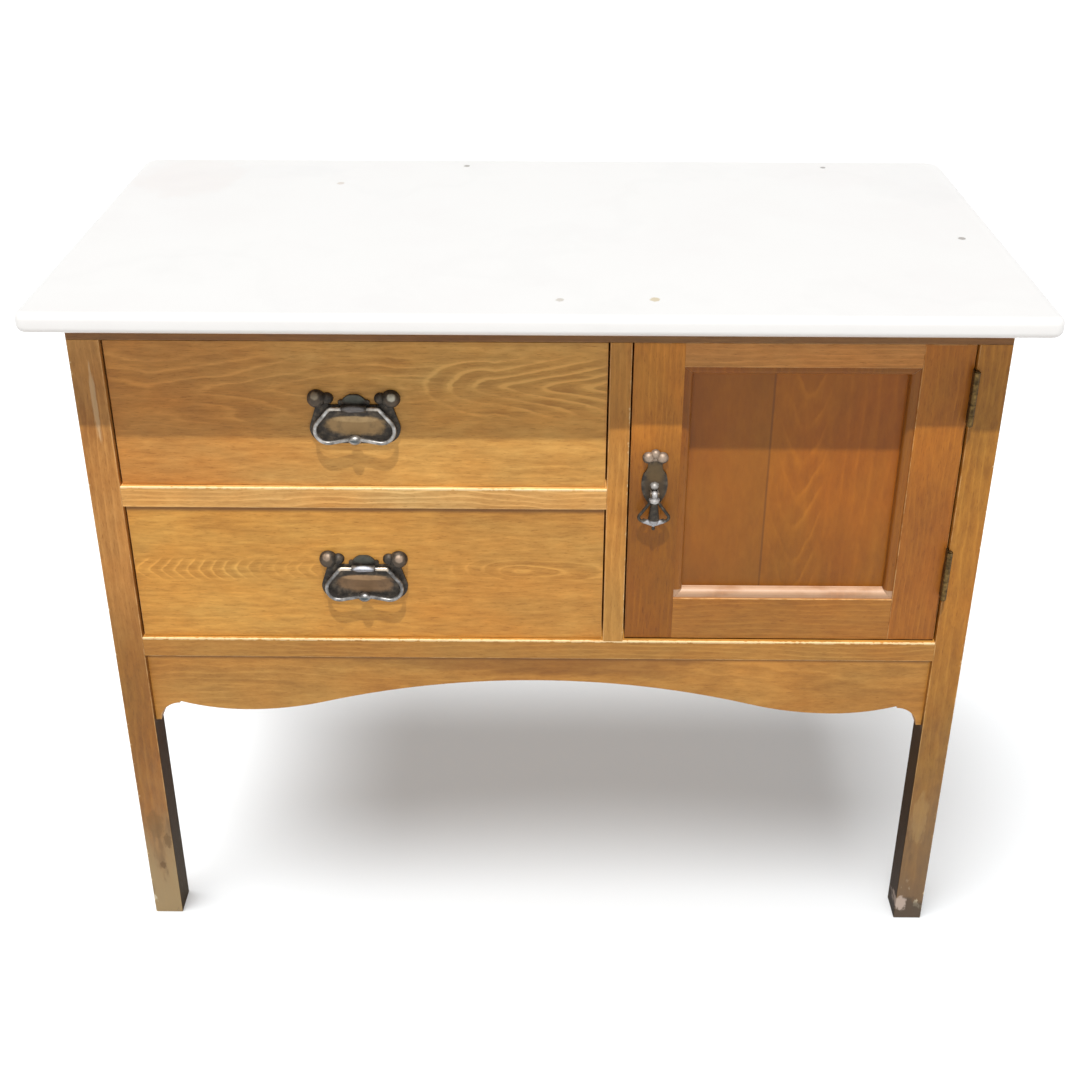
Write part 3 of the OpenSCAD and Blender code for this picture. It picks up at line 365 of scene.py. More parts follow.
    def _chips(self) -> bpy.types.NodeTree:
        """Scatters small pale chips where an arris is near.

        Returns:
            The group.
        """
        graph, given, leave = self._group("edge_chips", ("Chips",), Off=0.0, Width=0.003, Scarce=0.6)
        near = graph.maths("SUBTRACT", 1.0, graph.maths("DIVIDE", given["Off"], given["Width"]), clamp=True)
        speck = graph.noise(given["Place"], 170.0, 4.0, 0.62)
        rare = graph.swung(given["Scarce"], graph.noise(given["Place"], 24.0, 2.0), -0.25)
        over = graph.maths("SUBTRACT", graph.maths("MULTIPLY_ADD", near, 0.2, speck), rare)
        thin = graph.times(over, 7.0, clamp=True)
        graph.join(graph.times(thin, graph.rise(near, 0.0, 0.25)), leave["Chips"])
        return graph.tree

    def _spot(self) -> bpy.types.NodeTree:
        """Draws a soft round or oval mark at one place.

        Returns:
            The group.
        """
        graph, given, leave = self._group("spot", ("Mark",), Centre=ORIGIN, Reach=(1.0, 1.0, 1.0), Ragged=0.2)
        off = graph.vector("DIVIDE", graph.vector("SUBTRACT", given["Place"], given["Centre"]), given["Reach"])
        rough = graph.swing(graph.noise(off, 1.6, 4.0, 0.6), given["Ragged"])
        far = graph.maths("ADD", graph.vector("LENGTH", off), rough)
        graph.join(graph.rise(far, 0.65, 1.0, 1.0, 0.0), leave["Mark"])
        return graph.tree


class Finish:
    """A material in the making: its graph, shader, object coordinates and colour so far."""

    def __init__(self, name: str, effects: Effects) -> None:
        """Starts a material.

        Args:
            name: the material's name.
            effects: the shared effects.
        """
        self.effects = effects
        self.material = bpy.data.materials.new(name)
        self.material.use_nodes = True
        self.graph = Graph(self.material.node_tree)
        self.shader = self.graph.add("BsdfPrincipled")
        self.graph.add("OutputMaterial", self.shader.outputs[0])
        self.place = self.graph.add("TexCoord").outputs["Object"]
        self.colour: Socket | None = None

    def set(self, **values: object) -> None:
        """Sets or links the shader's sockets by their names, with an underscore for each space."""
        for name, value in values.items():
            self.graph.join(value, self.shader.inputs[name.replace("_", " ")])

    def group(self, tree: bpy.types.NodeTree, **values: object) -> Sequence[Socket]:
        """Places a shared effect.

        Args:
            tree: the effect's group.
            values: its inputs by name, besides the place where that is the object's own.

        Returns:
            The effect's outputs.
        """
        step = self.graph.add("Group", node_tree=tree)
        for name, value in {"Place": self.place, **values}.items():
            self.graph.join(value, step.inputs[name])
        return step.outputs

    def lay(self, share: object, shade: str) -> None:
        """Lays a shade over the colour so far, as strongly as the share says."""
        self.colour = self.graph.blend(share, self.colour, tone(shade))
        self.set(Base_Color=self.colour)

    def spot(self, centre: Place, reach: Place, shade: str, share: object, ragged: float) -> None:
        """Lays a spot of another shade, whose edge is as uneven as ragged says."""
        mark = self.group(self.effects.spot, Centre=centre, Reach=reach, Ragged=ragged)["Mark"]
        self.lay(self.graph.times(mark, share), shade)

    def bump(self, height: Socket, depth: float, strength: float) -> None:
        """Roughens the surface.

        Args:
            height: the height's socket.
            depth: how deep it goes.
            strength: how much of it shows.
        """
        step = self.graph.add("Bump")
        for name, value in (("Distance", depth), ("Strength", strength), ("Height", height)):
            self.graph.join(value, step.inputs[name])
        self.set(Normal=step.outputs[0])


@dataclass(frozen=True)
class Figure:
    """One run of growth rings on a board.

    Left and right are how fast the heart climbs on either side of the centre, core is how deep it lies
    there, taper opens the rings along the board, and the window is how far they show to the left, to the
    right and across.
    """

    centre: Place
    left: float = -0.02
    right: float = 0.02
    core: float = 0.02
    taper: float = 0.0
    spacing: float = 0.006
    wander: float = 0.02
    shake: float = 0.004
    window: Place = (3.0, 3.0, 3.0)
    share: float = 0.2

    def inputs(self) -> dict[str, float | Place]:
        """Names the figure's values as the inputs of the rings."""
        names = ("left", "right", "core", "taper", "spacing", "wander", "shake", "window")
        return {name.capitalize(): getattr(self, name) for name in names}


@dataclass(frozen=True)
class WoodLook:
    """How the wood of one board looks: its mean colour, and how much each effect shows.

    Where a low colour is given, it takes over below the span, which is two places along the
    axis. A shade line is the height of an upper corner under which painted shade lies.
    """

    shade: str
    grain: Grain
    seed: float
    figures: tuple[Figure, ...]
    fibre: float = 0.45
    blotch: float = 0.9
    pores: float = 0.5
    low: str = ""
    span: tuple[float, float] = (0.0, 1.0)
    axis: int = 2
    shade_line: float = 0.0
    arris: str = "e2b57a"
    worn: float = 0.5
    rough: float = 0.42


@dataclass(frozen=True)
class WoodFinish:
    """Varnished or plain wood, made of the shared effects."""

    DARK: ClassVar[Place] = (0.70, 0.64, 0.54)
    PALE: ClassVar[Place] = (1.28, 1.36, 1.52)
    COOL: ClassVar[Colour] = (0.96, 1.06, 1.2, 1.0)
    WARM: ClassVar[Colour] = (1.05, 0.93, 0.76, 1.0)
    GLOSS: ClassVar[float] = 0.28
    # How far below an upper corner the painted shade under a rail begins and ends
    SHADE_BAND: ClassVar[tuple[float, float]] = (0.0085, 0.0035)

    effects: Effects

    @staticmethod
    def tinted(colour: Colour, share: Place) -> Colour:
        """Makes a colour darker or paler by a factor for each of its channels."""
        return (colour[0] * share[0], colour[1] * share[1], colour[2] * share[2], 1.0)

    @staticmethod
    def turned(graph: Graph, place: object, grain: Grain) -> Socket:
        """Turns a place so that its first coordinate runs along the grain."""
        part = graph.split(place)
        return graph.add("CombineXYZ", *(part[axis] for axis in grain.value)).outputs[0]

    def make(self, name: str, look: WoodLook) -> Finish:
        """Builds the material of one board.

        Args:
            name: the board's node.
            look: how the board looks.

        Returns:
            The finish, whose colour may still be worked on.
        """
        finish = Finish(name + "_wood", self.effects)
        graph = finish.graph
        body = finish.group(
            self.effects.body, Place=self.turned(graph, finish.place, look.grain), Seed=look.seed)
        value = graph.swung(0.5, body["Fibre"], look.fibre)
        value = graph.swung(value, body["Blotch"], look.blotch)
        for figure in look.figures:
            place = self.turned(graph, graph.vector("SUBTRACT", finish.place, figure.centre), look.grain)
            rings = finish.group(self.effects.rings, Place=place, Seed=look.seed, **figure.inputs())
            value = graph.maths("MULTIPLY_ADD", rings["Rings"], figure.share, value)
        value = graph.maths("MULTIPLY_ADD", body["Pores"], -0.5 * look.pores, value)
        shade = tone(look.shade)
        colour = graph.ramp(
            value, (0.2, self.tinted(shade, self.DARK)), (0.5, shade), (0.8, self.tinted(shade, self.PALE)))
        cast = graph.ramp(body["Warm"], (0.3, self.COOL), (0.7, self.WARM))
        finish.colour = graph.blend(1.0, colour, cast, "MULTIPLY")
        if look.low:
            share = tuple(low / high for low, high in zip(tone(look.low), shade))
            level = graph.rise(graph.split(finish.place)[look.axis], *look.span)
            down = graph.ramp(level, (0.0, share), (1.0, WHITE))
            finish.colour = graph.blend(1.0, finish.colour, down, "MULTIPLY")
        if look.shade_line:
            start, end = (look.shade_line - below for below in self.SHADE_BAND)
            # A dark band painted below the upper corner: painted shade under the rail above
            finish.lay(graph.rise(graph.split(finish.place)[2], start, end, 0.0, 0.8), "4f3014")
        worn = finish.group(self.effects.arris, Amount=look.worn)["Worn"]
        finish.lay(worn, look.arris)
        sheen = graph.maths("MULTIPLY_ADD", body["Fibre"], 0.16, look.rough - 0.08)
        rough = graph.maths("MULTIPLY_ADD", worn, 0.15, sheen)
        finish.set(Specular_IOR_Level=self.GLOSS, Roughness=rough)
        height = graph.maths("SUBTRACT", body["Fibre"], graph.times(body["Pores"], 0.6))
        finish.bump(height, 0.0001, 0.5)
        return finish


def only(obj: Thing) -> None:
    """Selects one object and makes it active.

    Args:
        obj: the object.
    """
    for other in bpy.context.selected_objects:
        other.select_set(False)
    obj.select_set(True)
    bpy.context.view_layer.objects.active = obj


def dress(obj: Thing, material: bpy.types.Material) -> None:
    """Gives a piece one material and reports it.

    Args:
        obj: the piece.
        material: the material.
    """
    obj.data.materials.clear()
    obj.data.materials.append(material)
    log.info("%s: %d faces", obj.name, len(obj.data.polygons))


def middle(node: str) -> Vector:
    """Finds the middle of a node's box."""
    low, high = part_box(node)
    return (low + high) / 2


def merged_copy(node: str, gap: float, flat: float = 0.0) -> Thing:
    """Copies a node's mesh into a new object and merges the corners that lie together.

    Args:
        node: the node to copy.
        gap: corners nearer than this are merged.
        flat: faces that meet below this angle are made one, in degrees; 0 leaves them.

    Returns:
        The copy, selected and active.
    """
    mesh = frame["nodes"][node].data.copy()
    mesh.materials.clear()
    copied = bpy.data.objects.new(node + "_shown", mesh)
    bpy.context.scene.collection.objects.link(copied)
    only(copied)
    bpy.ops.object.mode_set(mode="EDIT")
    bpy.ops.mesh.select_all(action="SELECT")
    bpy.ops.mesh.remove_doubles(threshold=gap)
    if flat:
        bpy.ops.mesh.dissolve_limited(angle_limit=math.radians(flat))
    bpy.ops.object.mode_set(mode="OBJECT")
    bpy.ops.mesh.customdata_custom_splitnormals_clear()
    return copied


def show(shown: Thing, node: str, material: bpy.types.Material) -> None:
    """Shows a dressed piece in place of its node, on the node's body.

    Args:
        shown: the piece.
        node: the node.
        material: the piece's material.
    """
    source = frame["nodes"][node]
    dress(shown, material)
    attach(shown, source["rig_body"])
    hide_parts(node)


def show_smooth(node: str, degrees: float, material: bpy.types.Material) -> None:
    """Shows a merged copy of a node with smooth shading, without changing its form.

    Args:
        node: the node to show.
        degrees: faces that meet below this angle are shaded as one.
        material: the copy's material.
    """
    shown = merged_copy(node, SAME)
    bpy.ops.object.shade_smooth_by_angle(angle=math.radians(degrees))
    show(shown, node, material)


class Arrises:
    """Softens the free edges of boards, as years of use do.

    The other pieces of a board's body tell a free arris from one that lies inside a joint.
    """

    # Corners nearer than GAP are merged; faces that meet below FLAT degrees are joined, and below ROUND
    # degrees shaded as one
    GAP: ClassVar[float] = 0.00001
    FLAT: ClassVar[float] = 0.6
    ROUND: ClassVar[float] = 50.0
    # Arrises shorter than this, or blunter in radians, stay sharp; a neighbour lies within the reach
    SHORTEST: ClassVar[float] = 0.0005
    BLUNTEST: ClassVar[float] = 0.5
    REACH: ClassVar[float] = 0.0006
    # Where an arris is tried, as shares of its length, and how many of those may touch a neighbour
    TRIES: ClassVar[tuple[float, ...]] = (0.12, 0.31, 0.5, 0.69, 0.88)
    TOUCHING: ClassVar[int] = 2

    def __init__(self) -> None:
        """Reads the surface, body and box of every node."""
        self.trees: dict[str, BVHTree] = {}
        for name, obj in frame["nodes"].items():
            corners = [v.co.copy() for v in obj.data.vertices]
            self.trees[name] = BVHTree.FromPolygons(corners, [tuple(p.vertices) for p in obj.data.polygons])
        self.body = {name: obj["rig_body"] for name, obj in frame["nodes"].items()}
        self.boxes = {name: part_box(name) for name in frame["nodes"]}

    def _touches(self, node: str, spot: Vector) -> bool:
        """Says whether another piece of the same body lies at a spot.

        Args:
            node: the piece that the spot is on.
            spot: the place to look at.

        Returns:
            True where something is there.
        """
        for other, tree in self.trees.items():
            if other == node or self.body[other] != self.body[node]:
                continue
            low, high = self.boxes[other]
            near = all(low[i] - self.REACH <= spot[i] <= high[i] + self.REACH for i in range(3))
            if near and tree.find_nearest(spot, self.REACH)[0] is not None:
                return True
        return False

    def _weigh(self, node: str, mesh: bpy.types.Mesh) -> bool:
        """Marks the free outer edges.

        Args:
            node: the node that the mesh is a copy of.
            mesh: the merged copy.

        Returns:
            True where there are any.
        """
        form = bmesh.new()
        form.from_mesh(mesh)
        layer = form.edges.layers.float.new("bevel_weight_edge")
        marked = False
        for edge in form.edges:
            if len(edge.link_faces) != 2 or edge.calc_length() < self.SHORTEST:
                continue
            if not edge.is_convex or edge.calc_face_angle(0.0) < self.BLUNTEST:
                continue
            start, end = (v.co for v in edge.verts)
            if sum(self._touches(node, start.lerp(end, share)) for share in self.TRIES) <= self.TOUCHING:
                edge[layer] = 1.0
                marked = True
        form.to_mesh(mesh)
        form.free()
        return marked

    def show(self, node: str, width: float, material: bpy.types.Material) -> None:
        """Shows a board with rounded free arrises, whose faces carry the attribute "arris".

        Args:
            node: the board's node.
            width: the width of the rounding.
            material: the board's material.
        """
        shown = merged_copy(node, self.GAP, self.FLAT)
        mesh = shown.data
        # The rounding's faces take the second of two slots, which tells them apart below
        for _ in ("board", "arris"):
            mesh.materials.append(None)
        if self._weigh(node, mesh):
            bevel = shown.modifiers.new("arris", "BEVEL")
            bevel.limit_method = "WEIGHT"
            bevel.width = width
            bevel.segments = 2
            bevel.material = 1
            bevel.use_clamp_overlap = True
            bpy.ops.object.modifier_apply(modifier=bevel.name)
        worn = mesh.attributes.new("arris", "FLOAT", "FACE")
        worn.data.foreach_set("value", [float(face.material_index == 1) for face in mesh.polygons])
        for face in mesh.polygons:
            face.material_index = 0
        bpy.ops.object.shade_smooth_by_angle(angle=math.radians(self.ROUND))
        flatten = shown.modifiers.new("flatten", "WEIGHTED_NORMAL")
        flatten.keep_sharp = True
        flatten.weight = 100
        bpy.ops.object.modifier_apply(modifier=flatten.name)
        show(shown, node, material)


@dataclass(frozen=True)
class Woodwork:
    """A group of boards, with the maker of their finishes and the softener of their edges."""

    wood: WoodFinish
    arrises: Arrises


class Carcass(Woodwork):
    """The legs, rails, panels, boards and apron."""

    ARRIS: ClassVar[float] = 0.0009
    FRONT: ClassVar[float] = -0.1945

    LOOKS: ClassVar[dict[str, WoodLook]] = {
        "leg_front_left": WoodLook(
            "b37e40", UP, 1.3, (Figure((-0.45, -0.15, 0.5)),), blotch=1.3, low="8d5c22", span=(0.33, 0.48)),
        "leg_front_right": WoodLook(
            "a76e25", UP, 4.1, (Figure((0.44, -0.15, 0.45)),), blotch=1.3, low="946728", span=(0.26, 0.45)),
        "leg_back_left": WoodLook("ac7131", UP, 7.7, (Figure((-0.44, 0.24, 0.4)),), blotch=1.3),
        "leg_back_right": WoodLook("a66d31", UP, 9.2, (Figure((0.45, 0.24, 0.5)),), blotch=1.3),
        # The strip under the slab is painted dark: painted shade beneath the marble's overhang
        "top_rail_front": WoodLook("7b542c", ACROSS, 2.0, (Figure((0.1, -0.16, 0.74)),), worn=0.2),
        "drawer_rail": WoodLook(
            "cd9c5a", ACROSS, 3.4, (Figure((-0.05, -0.16, 0.50), wander=0.04, share=0.4),), worn=0.8),
        "bottom_rail_front": WoodLook("aa7735", ACROSS, 5.2, (Figure((-0.2, -0.16, 0.32)),), worn=0.8),
        # Above the span the post is darker and redder, where the slab's shadow falls: painted shade
        "centre_post": WoodLook(
            "b07630", UP, 6.1, (Figure((0.04, -0.16, 0.55)),), low="b7803a", span=(0.57, 0.62)),
        "apron": WoodLook(
            "ac7835", ACROSS, 8.3, (Figure(
                (-0.30, -0.18, 0.31), -0.06, 0.06, 0.01, spacing=0.011, wander=0.06, shake=0.01, share=0.18),),
            # Painted shade under the bottom rail, as a dark band at the apron's top
            blotch=1.3, shade_line=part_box("bottom_rail_front")[0].z),
        "side_panel_left": WoodLook(
            "af7432", UP, 11.0, (Figure((-0.42, 0.03, 0.45), 0.12, 0.12, spacing=0.007, share=0.45),)),
        "side_panel_right": WoodLook(
            "af7432", UP, 12.5, (Figure((0.42, 0.05, 0.6), 0.12, 0.12, spacing=0.007, share=0.45),)),
    }

    # Chipped arrises of the front: the axis and the place along it, how far the chips reach in, how rare
    CHIPPED: ClassVar[dict[str, tuple[int, float, float, float]]] = {
        "centre_post": (0, 0.0850, 0.0022, 0.66), "drawer_rail": (2, 0.5520, 0.0017, 0.45),
        "bottom_rail_front": (2, 0.3760, 0.0018, 0.46), "leg_front_left": (0, -0.4280, 0.0030, 0.70),
        "leg_front_right": (0, 0.4280, 0.0028, 0.71),
    }

    # Each mark's centre, reach, colour and share: stains and rubbed streaks on the front legs, and painted shade
    # under the bottom rail on the apron
    STAINS_AND_SHADE: ClassVar[dict[str, tuple[Mark, ...]]] = {
        "leg_front_left": (
            ((-0.4140, FRONT, 0.128), (0.011, 0.03, 0.022), "6b4d24", 0.45),
            ((-0.4030, FRONT, 0.105), (0.005, 0.03, 0.012), "5f4320", 0.6),
            ((-0.4120, FRONT, 0.070), (0.004, 0.03, 0.006), "5d3f1c", 0.7),
            ((-0.4100, FRONT, 0.640), (0.003, 0.03, 0.045), "dcc096", 0.45),
        ),
        "leg_front_right": (
            ((0.4110, FRONT, 0.008), (0.030, 0.03, 0.024), "453a2e", 0.75),
            ((0.4030, FRONT, 0.022), (0.008, 0.03, 0.012), "c9b5a6", 0.8),
            ((0.4100, FRONT, 0.145), (0.010, 0.03, 0.040), "c7a56b", 0.22),
        ),
        # A dark patch at the apron's top middle: painted shade under the bottom rail
        "apron": (((0.0, FRONT, 0.346), (0.210, 0.03, 0.026), "6b3f16", 0.42),),
    }

    INNER: ClassVar[dict[str, Grain]] = {
        "top_rail_back": ACROSS, "top_rail_left": DEEP, "top_rail_right": DEEP, "top_bearer_centre": DEEP,
        "bottom_rail_back": ACROSS, "partition": UP, "back_boards": UP, "cupboard_floor": ACROSS,
        "floor_cleats": DEEP, "runner_upper_left": DEEP, "runner_upper_right": DEEP,
        "runner_lower_left": DEEP, "runner_lower_right": DEEP, "drawer_stops": ACROSS, "glue_blocks": ACROSS,
    }

    def _chip(self, finish: Finish, axis: int, edge: float, width: float, scarce: float) -> None:
        """Chips the varnish along one arris of the front.

        Args:
            finish: the board's finish.
            axis: the coordinate, besides the depth, that stays the same along the arris.
            edge: its value there.
            width: how far the chips reach in.
            scarce: how rare they are.
        """
        graph = finish.graph
        corner = tuple({axis: edge, 1: self.FRONT}.get(i, 0.0) for i in range(3))
        kept = tuple(float(i in (axis, 1)) for i in range(3))
        off = graph.vector("MULTIPLY", graph.vector("SUBTRACT", finish.place, corner), kept)
        chips = finish.group(
            finish.effects.chips, Off=graph.vector("LENGTH", off), Width=width, Scarce=scarce)["Chips"]
        finish.lay(graph.times(chips, 0.7), "ecd3a2")

    @staticmethod
    def _age_leg(finish: Finish, foot: str, top: float, share: float, inner: float) -> None:
        """Greys a leg towards its foot, with damp marks, rubbed patches and painted shade on its inner side.

        Args:
            finish: the leg's finish.
            foot: the colour at the foot.
            top: the height at which the greying ends.
            share: how strong it is at the foot.
            inner: 1 where the inner side faces right and -1 where it faces left.
        """
        graph, place = finish.graph, finish.place
        height = graph.split(place)[2]
        level = graph.swung(height, graph.streaks(place, (40.0, 40.0, 9.0), 4.0, 0.6), 0.22)
        finish.lay(graph.rise(level, 0.0, top, share, 0.0), foot)
        stain = graph.rise(graph.streaks(place, (60.0, 60.0, 14.0), 3.0, 0.6), 0.56, 0.7)
        low = graph.times(graph.rise(level, 0.03, 0.3, 1.0, 0.0), 0.55)
        finish.lay(graph.times(stain, low), "5d442a")
        rub = graph.rise(graph.streaks(place, (120.0, 120.0, 45.0), 4.0, 0.65), 0.6, 0.68)
        finish.lay(graph.times(rub, graph.rise(height, 0.02, 0.07, 0.8, 0.0)), "cbbd9f")
        # The inner side below the apron is painted dark, which is painted shade, and its gloss is lowered
        inward = graph.rise(graph.times(graph.facing()[0], inner), 0.5, 0.9)
        inner_shade = graph.times(inward, graph.rise(height, 0.26, 0.3, 1.0, 0.0))
        finish.lay(graph.times(inner_shade, 0.85), "2a1c0f")
        finish.set(Specular_IOR_Level=graph.maths("MULTIPLY_ADD", inner_shade, -0.26, WoodFinish.GLOSS))

    def build(self) -> None:
        """Shows every board of the carcass."""
        for node, look in self.LOOKS.items():
            finish = self.wood.make(node, look)
            if node == "leg_front_left":
                self._age_leg(finish, "9d8761", 0.24, 0.9, 1.0)
            elif node.startswith("leg_"):
                self._age_leg(finish, "6d5944", 0.3, 0.85, 1.0 if node.endswith("left") else -1.0)
            for mark in self.STAINS_AND_SHADE.get(node, ()):
                finish.spot(*mark, 1.4)
            if node in self.CHIPPED:
                self._chip(finish, *self.CHIPPED[node])
            self.arrises.show(node, self.ARRIS, finish.material)
        for number, (node, grain) in enumerate(self.INNER.items()):
            heart = middle(node) + Vector((0.01, 0.0, -0.006))
            figure = Figure(tuple(heart), 0.09, 0.09, 0.01, spacing=0.007, share=0.4)
            look = WoodLook(
                "c3a071", grain, 20.0 + 1.7 * number, (figure,), 0.3, 0.5, arris="e3cba2", worn=0.25, rough=0.7)
            material = self.wood.make(node, look).material
            if node == "back_boards":
                self.arrises.show(node, self.ARRIS, material)
            else:
                dress(frame["nodes"][node], material)


class Drawers(Woodwork):
    """The wood of the two drawers."""

    ARRIS: ClassVar[float] = 0.0005
    FACE: ClassVar[float] = -0.1905

    LOOKS: ClassVar[dict[str, WoodLook]] = {
        "upper": WoodLook(
            "c89349", ACROSS, 61.0, (
                Figure((-0.04, FACE, 0.659), 0.6, 0.0, 0.003, 0.22, 0.0086, 0.016, 0.005, (0.085, 0.16, 0.036), 0.7),
                Figure((-0.13, FACE, 0.668), 0.2, 0.1, 0.0, 0.1, 0.011, 0.03, 0.006, (0.09, 0.05, 0.028), 0.35),
                Figure((-0.36, FACE, 0.655), 0.0, -0.06, 0.02, 0.10, 0.0095, 0.045, 0.006, (0.3, 0.24, 0.045), 0.3),
                Figure((-0.20, FACE, 0.50), -0.06, 0.06, 0.0, spacing=0.016, wander=0.06, shake=0.008, share=0.12),
            ), 0.6, low="bb823e", span=(-0.36, -0.08), axis=0),
        "lower": WoodLook(
            "bd853c", ACROSS, 67.0, (
                Figure((-0.398, FACE, 0.457), 0.0, 0.0, 0.004, 0.7, 0.0085, 0.014, 0.006, (0.11, 0.25, 0.014), 0.33),
                Figure((-0.02, FACE, 0.457), 0.35, 0.14, 0.0, 0.0, 0.0055, 0.014, 0.004, (0.09, 0.13, 0.014), 0.36),
                Figure((-0.25, FACE, 0.56), -0.05, 0.05, 0.0, spacing=0.016, wander=0.06, shake=0.006, share=0.12),
            # Painted shade under the drawer rail, as a dark band at the front's top
            ), 0.6, low="c69042", span=(-0.3, 0.0), axis=0, shade_line=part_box("drawer_rail")[0].z),
    }

    INNER: ClassVar[dict[str, tuple[Grain, float]]] = {
        "side_left": (DEEP, 31.0), "side_right": (DEEP, 33.0), "back": (ACROSS, 35.0), "bottom": (ACROSS, 37.0),
    }

    def build(self) -> None:
        """Shows both fronts and dresses the boards behind them."""
        for name, look in self.LOOKS.items():
            front = name + "_drawer_front"
            self.arrises.show(front, self.ARRIS, self.wood.make(front, look).material)
            for part, (grain, seed) in self.INNER.items():
                node = f"{name}_drawer_{part}"
                heart = middle(node) + Vector((0.0, 0.02, 0.01))
                figure = Figure(tuple(heart), 0.08, 0.08, 0.01, share=0.35)
                plain = WoodLook(
                    "cbaa7b", grain, seed + len(name), (figure,), 0.3, 0.45, arris="e6d0aa", worn=0.3, rough=0.66)
                dress(frame["nodes"][node], self.wood.make(node, plain).material)


class Door(Woodwork):
    """The wood of the framed cupboard door."""

    ARRIS: ClassVar[float] = 0.0008
    FACE: ClassVar[float] = -0.184
    # Where the panel's two boards meet
    JOINT_X: ClassVar[float] = 0.219
    # How far above the moulding's foot the painted highlight on its lower member starts and ends its fading
    MEMBER: ClassVar[tuple[float, float]] = (0.0085, 0.0100)

    LOOKS: ClassVar[dict[str, WoodLook]] = {
        "door_stile_left": WoodLook(
            "bd7a2a", UP, 41.0, (Figure((0.08, -0.17, 0.5)),), low="865010", span=(0.53, 0.65)),
        "door_stile_right": WoodLook(
            "ab691f", UP, 43.0, (Figure((0.42, -0.17, 0.5)),), low="995919", span=(0.5, 0.64)),
        "door_rail_top": WoodLook("c0813f", ACROSS, 45.0, (Figure((0.2, -0.17, 0.72)),)),
        "door_rail_bottom": WoodLook("9e6829", ACROSS, 47.0, (Figure((0.2, -0.17, 0.37)),)),
        "door_panel": WoodLook(
            "9d5b14", UP, 49.0, (
                Figure((0.25, FACE, 0.40), 0.0, 0.0, 0.006, 0.30, 0.011, 0.012, 0.006, (0.45, 0.45, 0.028), 0.28),
                Figure((0.36, FACE, 0.55), spacing=0.012, window=(0.5, 0.5, 0.09), share=0.15),
            ), 0.16, 1.0, 0.1, low="8d5311", span=(0.43, 0.55), worn=0.3),
        "door_moulding": WoodLook(
            "8c5213", UP, 51.0, (Figure((0.2, FACE, 0.5)),), 0.25, 0.5, arris="c69a6c", worn=0.6),
    }

    def build(self) -> None:
        """Shows the door's frame, panel and moulding."""
        for node, look in self.LOOKS.items():
            finish = self.wood.make(node, look)
            if node == "door_panel":
                self._join_boards(finish)
            elif node == "door_moulding":
                self._paint_highlight(finish)
            self.arrises.show(node, self.ARRIS, finish.material)

    def _join_boards(self, finish: Finish) -> None:
        """Shows the faint glued joint between the panel's two boards.

        Args:
            finish: the panel's finish.
        """
        graph = finish.graph
        off = graph.maths("SUBTRACT", graph.split(finish.place)[0], self.JOINT_X)
        finish.lay(graph.times(graph.rise(off, -0.0012, 0.0, 1.0, 0.0), 0.22), "6e4a1c")
        finish.lay(graph.rise(graph.maths("ABSOLUTE", off), 0.0003, 0.0016, 0.5, 0.0), "4c2c10")

    def _paint_highlight(self, finish: Finish) -> None:
        """Pales the moulding's upward faces and lower member: a painted highlight.

        Args:
            finish: the moulding's finish.
        """
        graph = finish.graph
        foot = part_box("door_moulding")[0].z
        start, end = (foot + above for above in self.MEMBER)
        member = graph.rise(graph.split(finish.place)[2], start, end, 0.8, 0.0)
        uneven = graph.rise(graph.streaks(finish.place, (30.0, 60.0, 60.0)), 0.3, 0.6, 0.6, 1.0)
        # Upward faces and the lower member are paled: painted highlight
        pale = graph.maths("MAXIMUM", graph.rise(graph.facing()[2], 0.15, 0.6), member)
        finish.lay(graph.times(pale, uneven), "c09d80")


class Marble:
    """The marble slab."""

    # Each stain's and each speck's place and reach along X and Y, colour and share
    STAINS: ClassVar[tuple[tuple[float, float, float, float, str, float], ...]] = (
        (-0.39, 0.16, 0.07, 0.08, "e6cfc4", 0.1), (0.42, 0.15, 0.06, 0.09, "d2d3d5", 0.07),
        (-0.30, 0.18, 0.10, 0.03, "dcdcdd", 0.08),
    )
    SPECKS: ClassVar[tuple[tuple[float, float, float, str], ...]] = (
        (-0.086, 0.202, 0.0042, "7d7266"), (0.322, 0.202, 0.0036, "6d625a"), (0.420, -0.028, 0.0046, "8a8078"),
        (0.019, -0.190, 0.0045, "c9c0b4"), (0.104, -0.188, 0.0055, "cdb98e"), (-0.222, 0.137, 0.005, "d6cbc0"),
    )

    def build(self, effects: Effects) -> None:
        """Gives the slab its veins, faint stains and specks.

        Args:
            effects: the shared effects.
        """
        finish = Finish("white_marble", effects)
        graph, place = finish.graph, finish.place
        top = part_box("marble_top")[1].z
        swirl = graph.add("TexNoise", place)
        swirl.inputs["Scale"].default_value = 6.0
        bend = graph.vector("SCALE", swirl.outputs["Color"], ORIGIN, ORIGIN, 0.09)
        bent = graph.vector("ADD", place, bend)
        cloud = graph.noise(place, 4.5, 4.0, 0.6)
        vein = graph.maths("ABSOLUTE", graph.maths("SUBTRACT", graph.noise(bent, 3.4, 5.0, 0.55), 0.5))
        finish.colour = graph.ramp(
            cloud, (0.3, tone("f1efed")), (0.6, tone("f3f2f0")), (0.8, tone("efeeec")), soft=True)
        finish.lay(graph.times(graph.rise(vein, 0.0, 0.035, 1.0, 0.0), 0.025), "b9bab9")
        for x, y, wide, deep, shade, share in self.STAINS:
            finish.spot((x, y, top), (wide, deep, 0.2), shade, share, 1.1)
        for x, y, size, shade in self.SPECKS:
            finish.spot((x, y, top), (size, size, 0.004), shade, 0.75, 0.9)
        finish.set(Roughness=graph.maths("MULTIPLY_ADD", cloud, 0.12, 0.3))
        finish.bump(graph.noise(place, 160.0, 3.0), 0.00008, 0.4)
        show_smooth("marble_top", 28, finish.material)


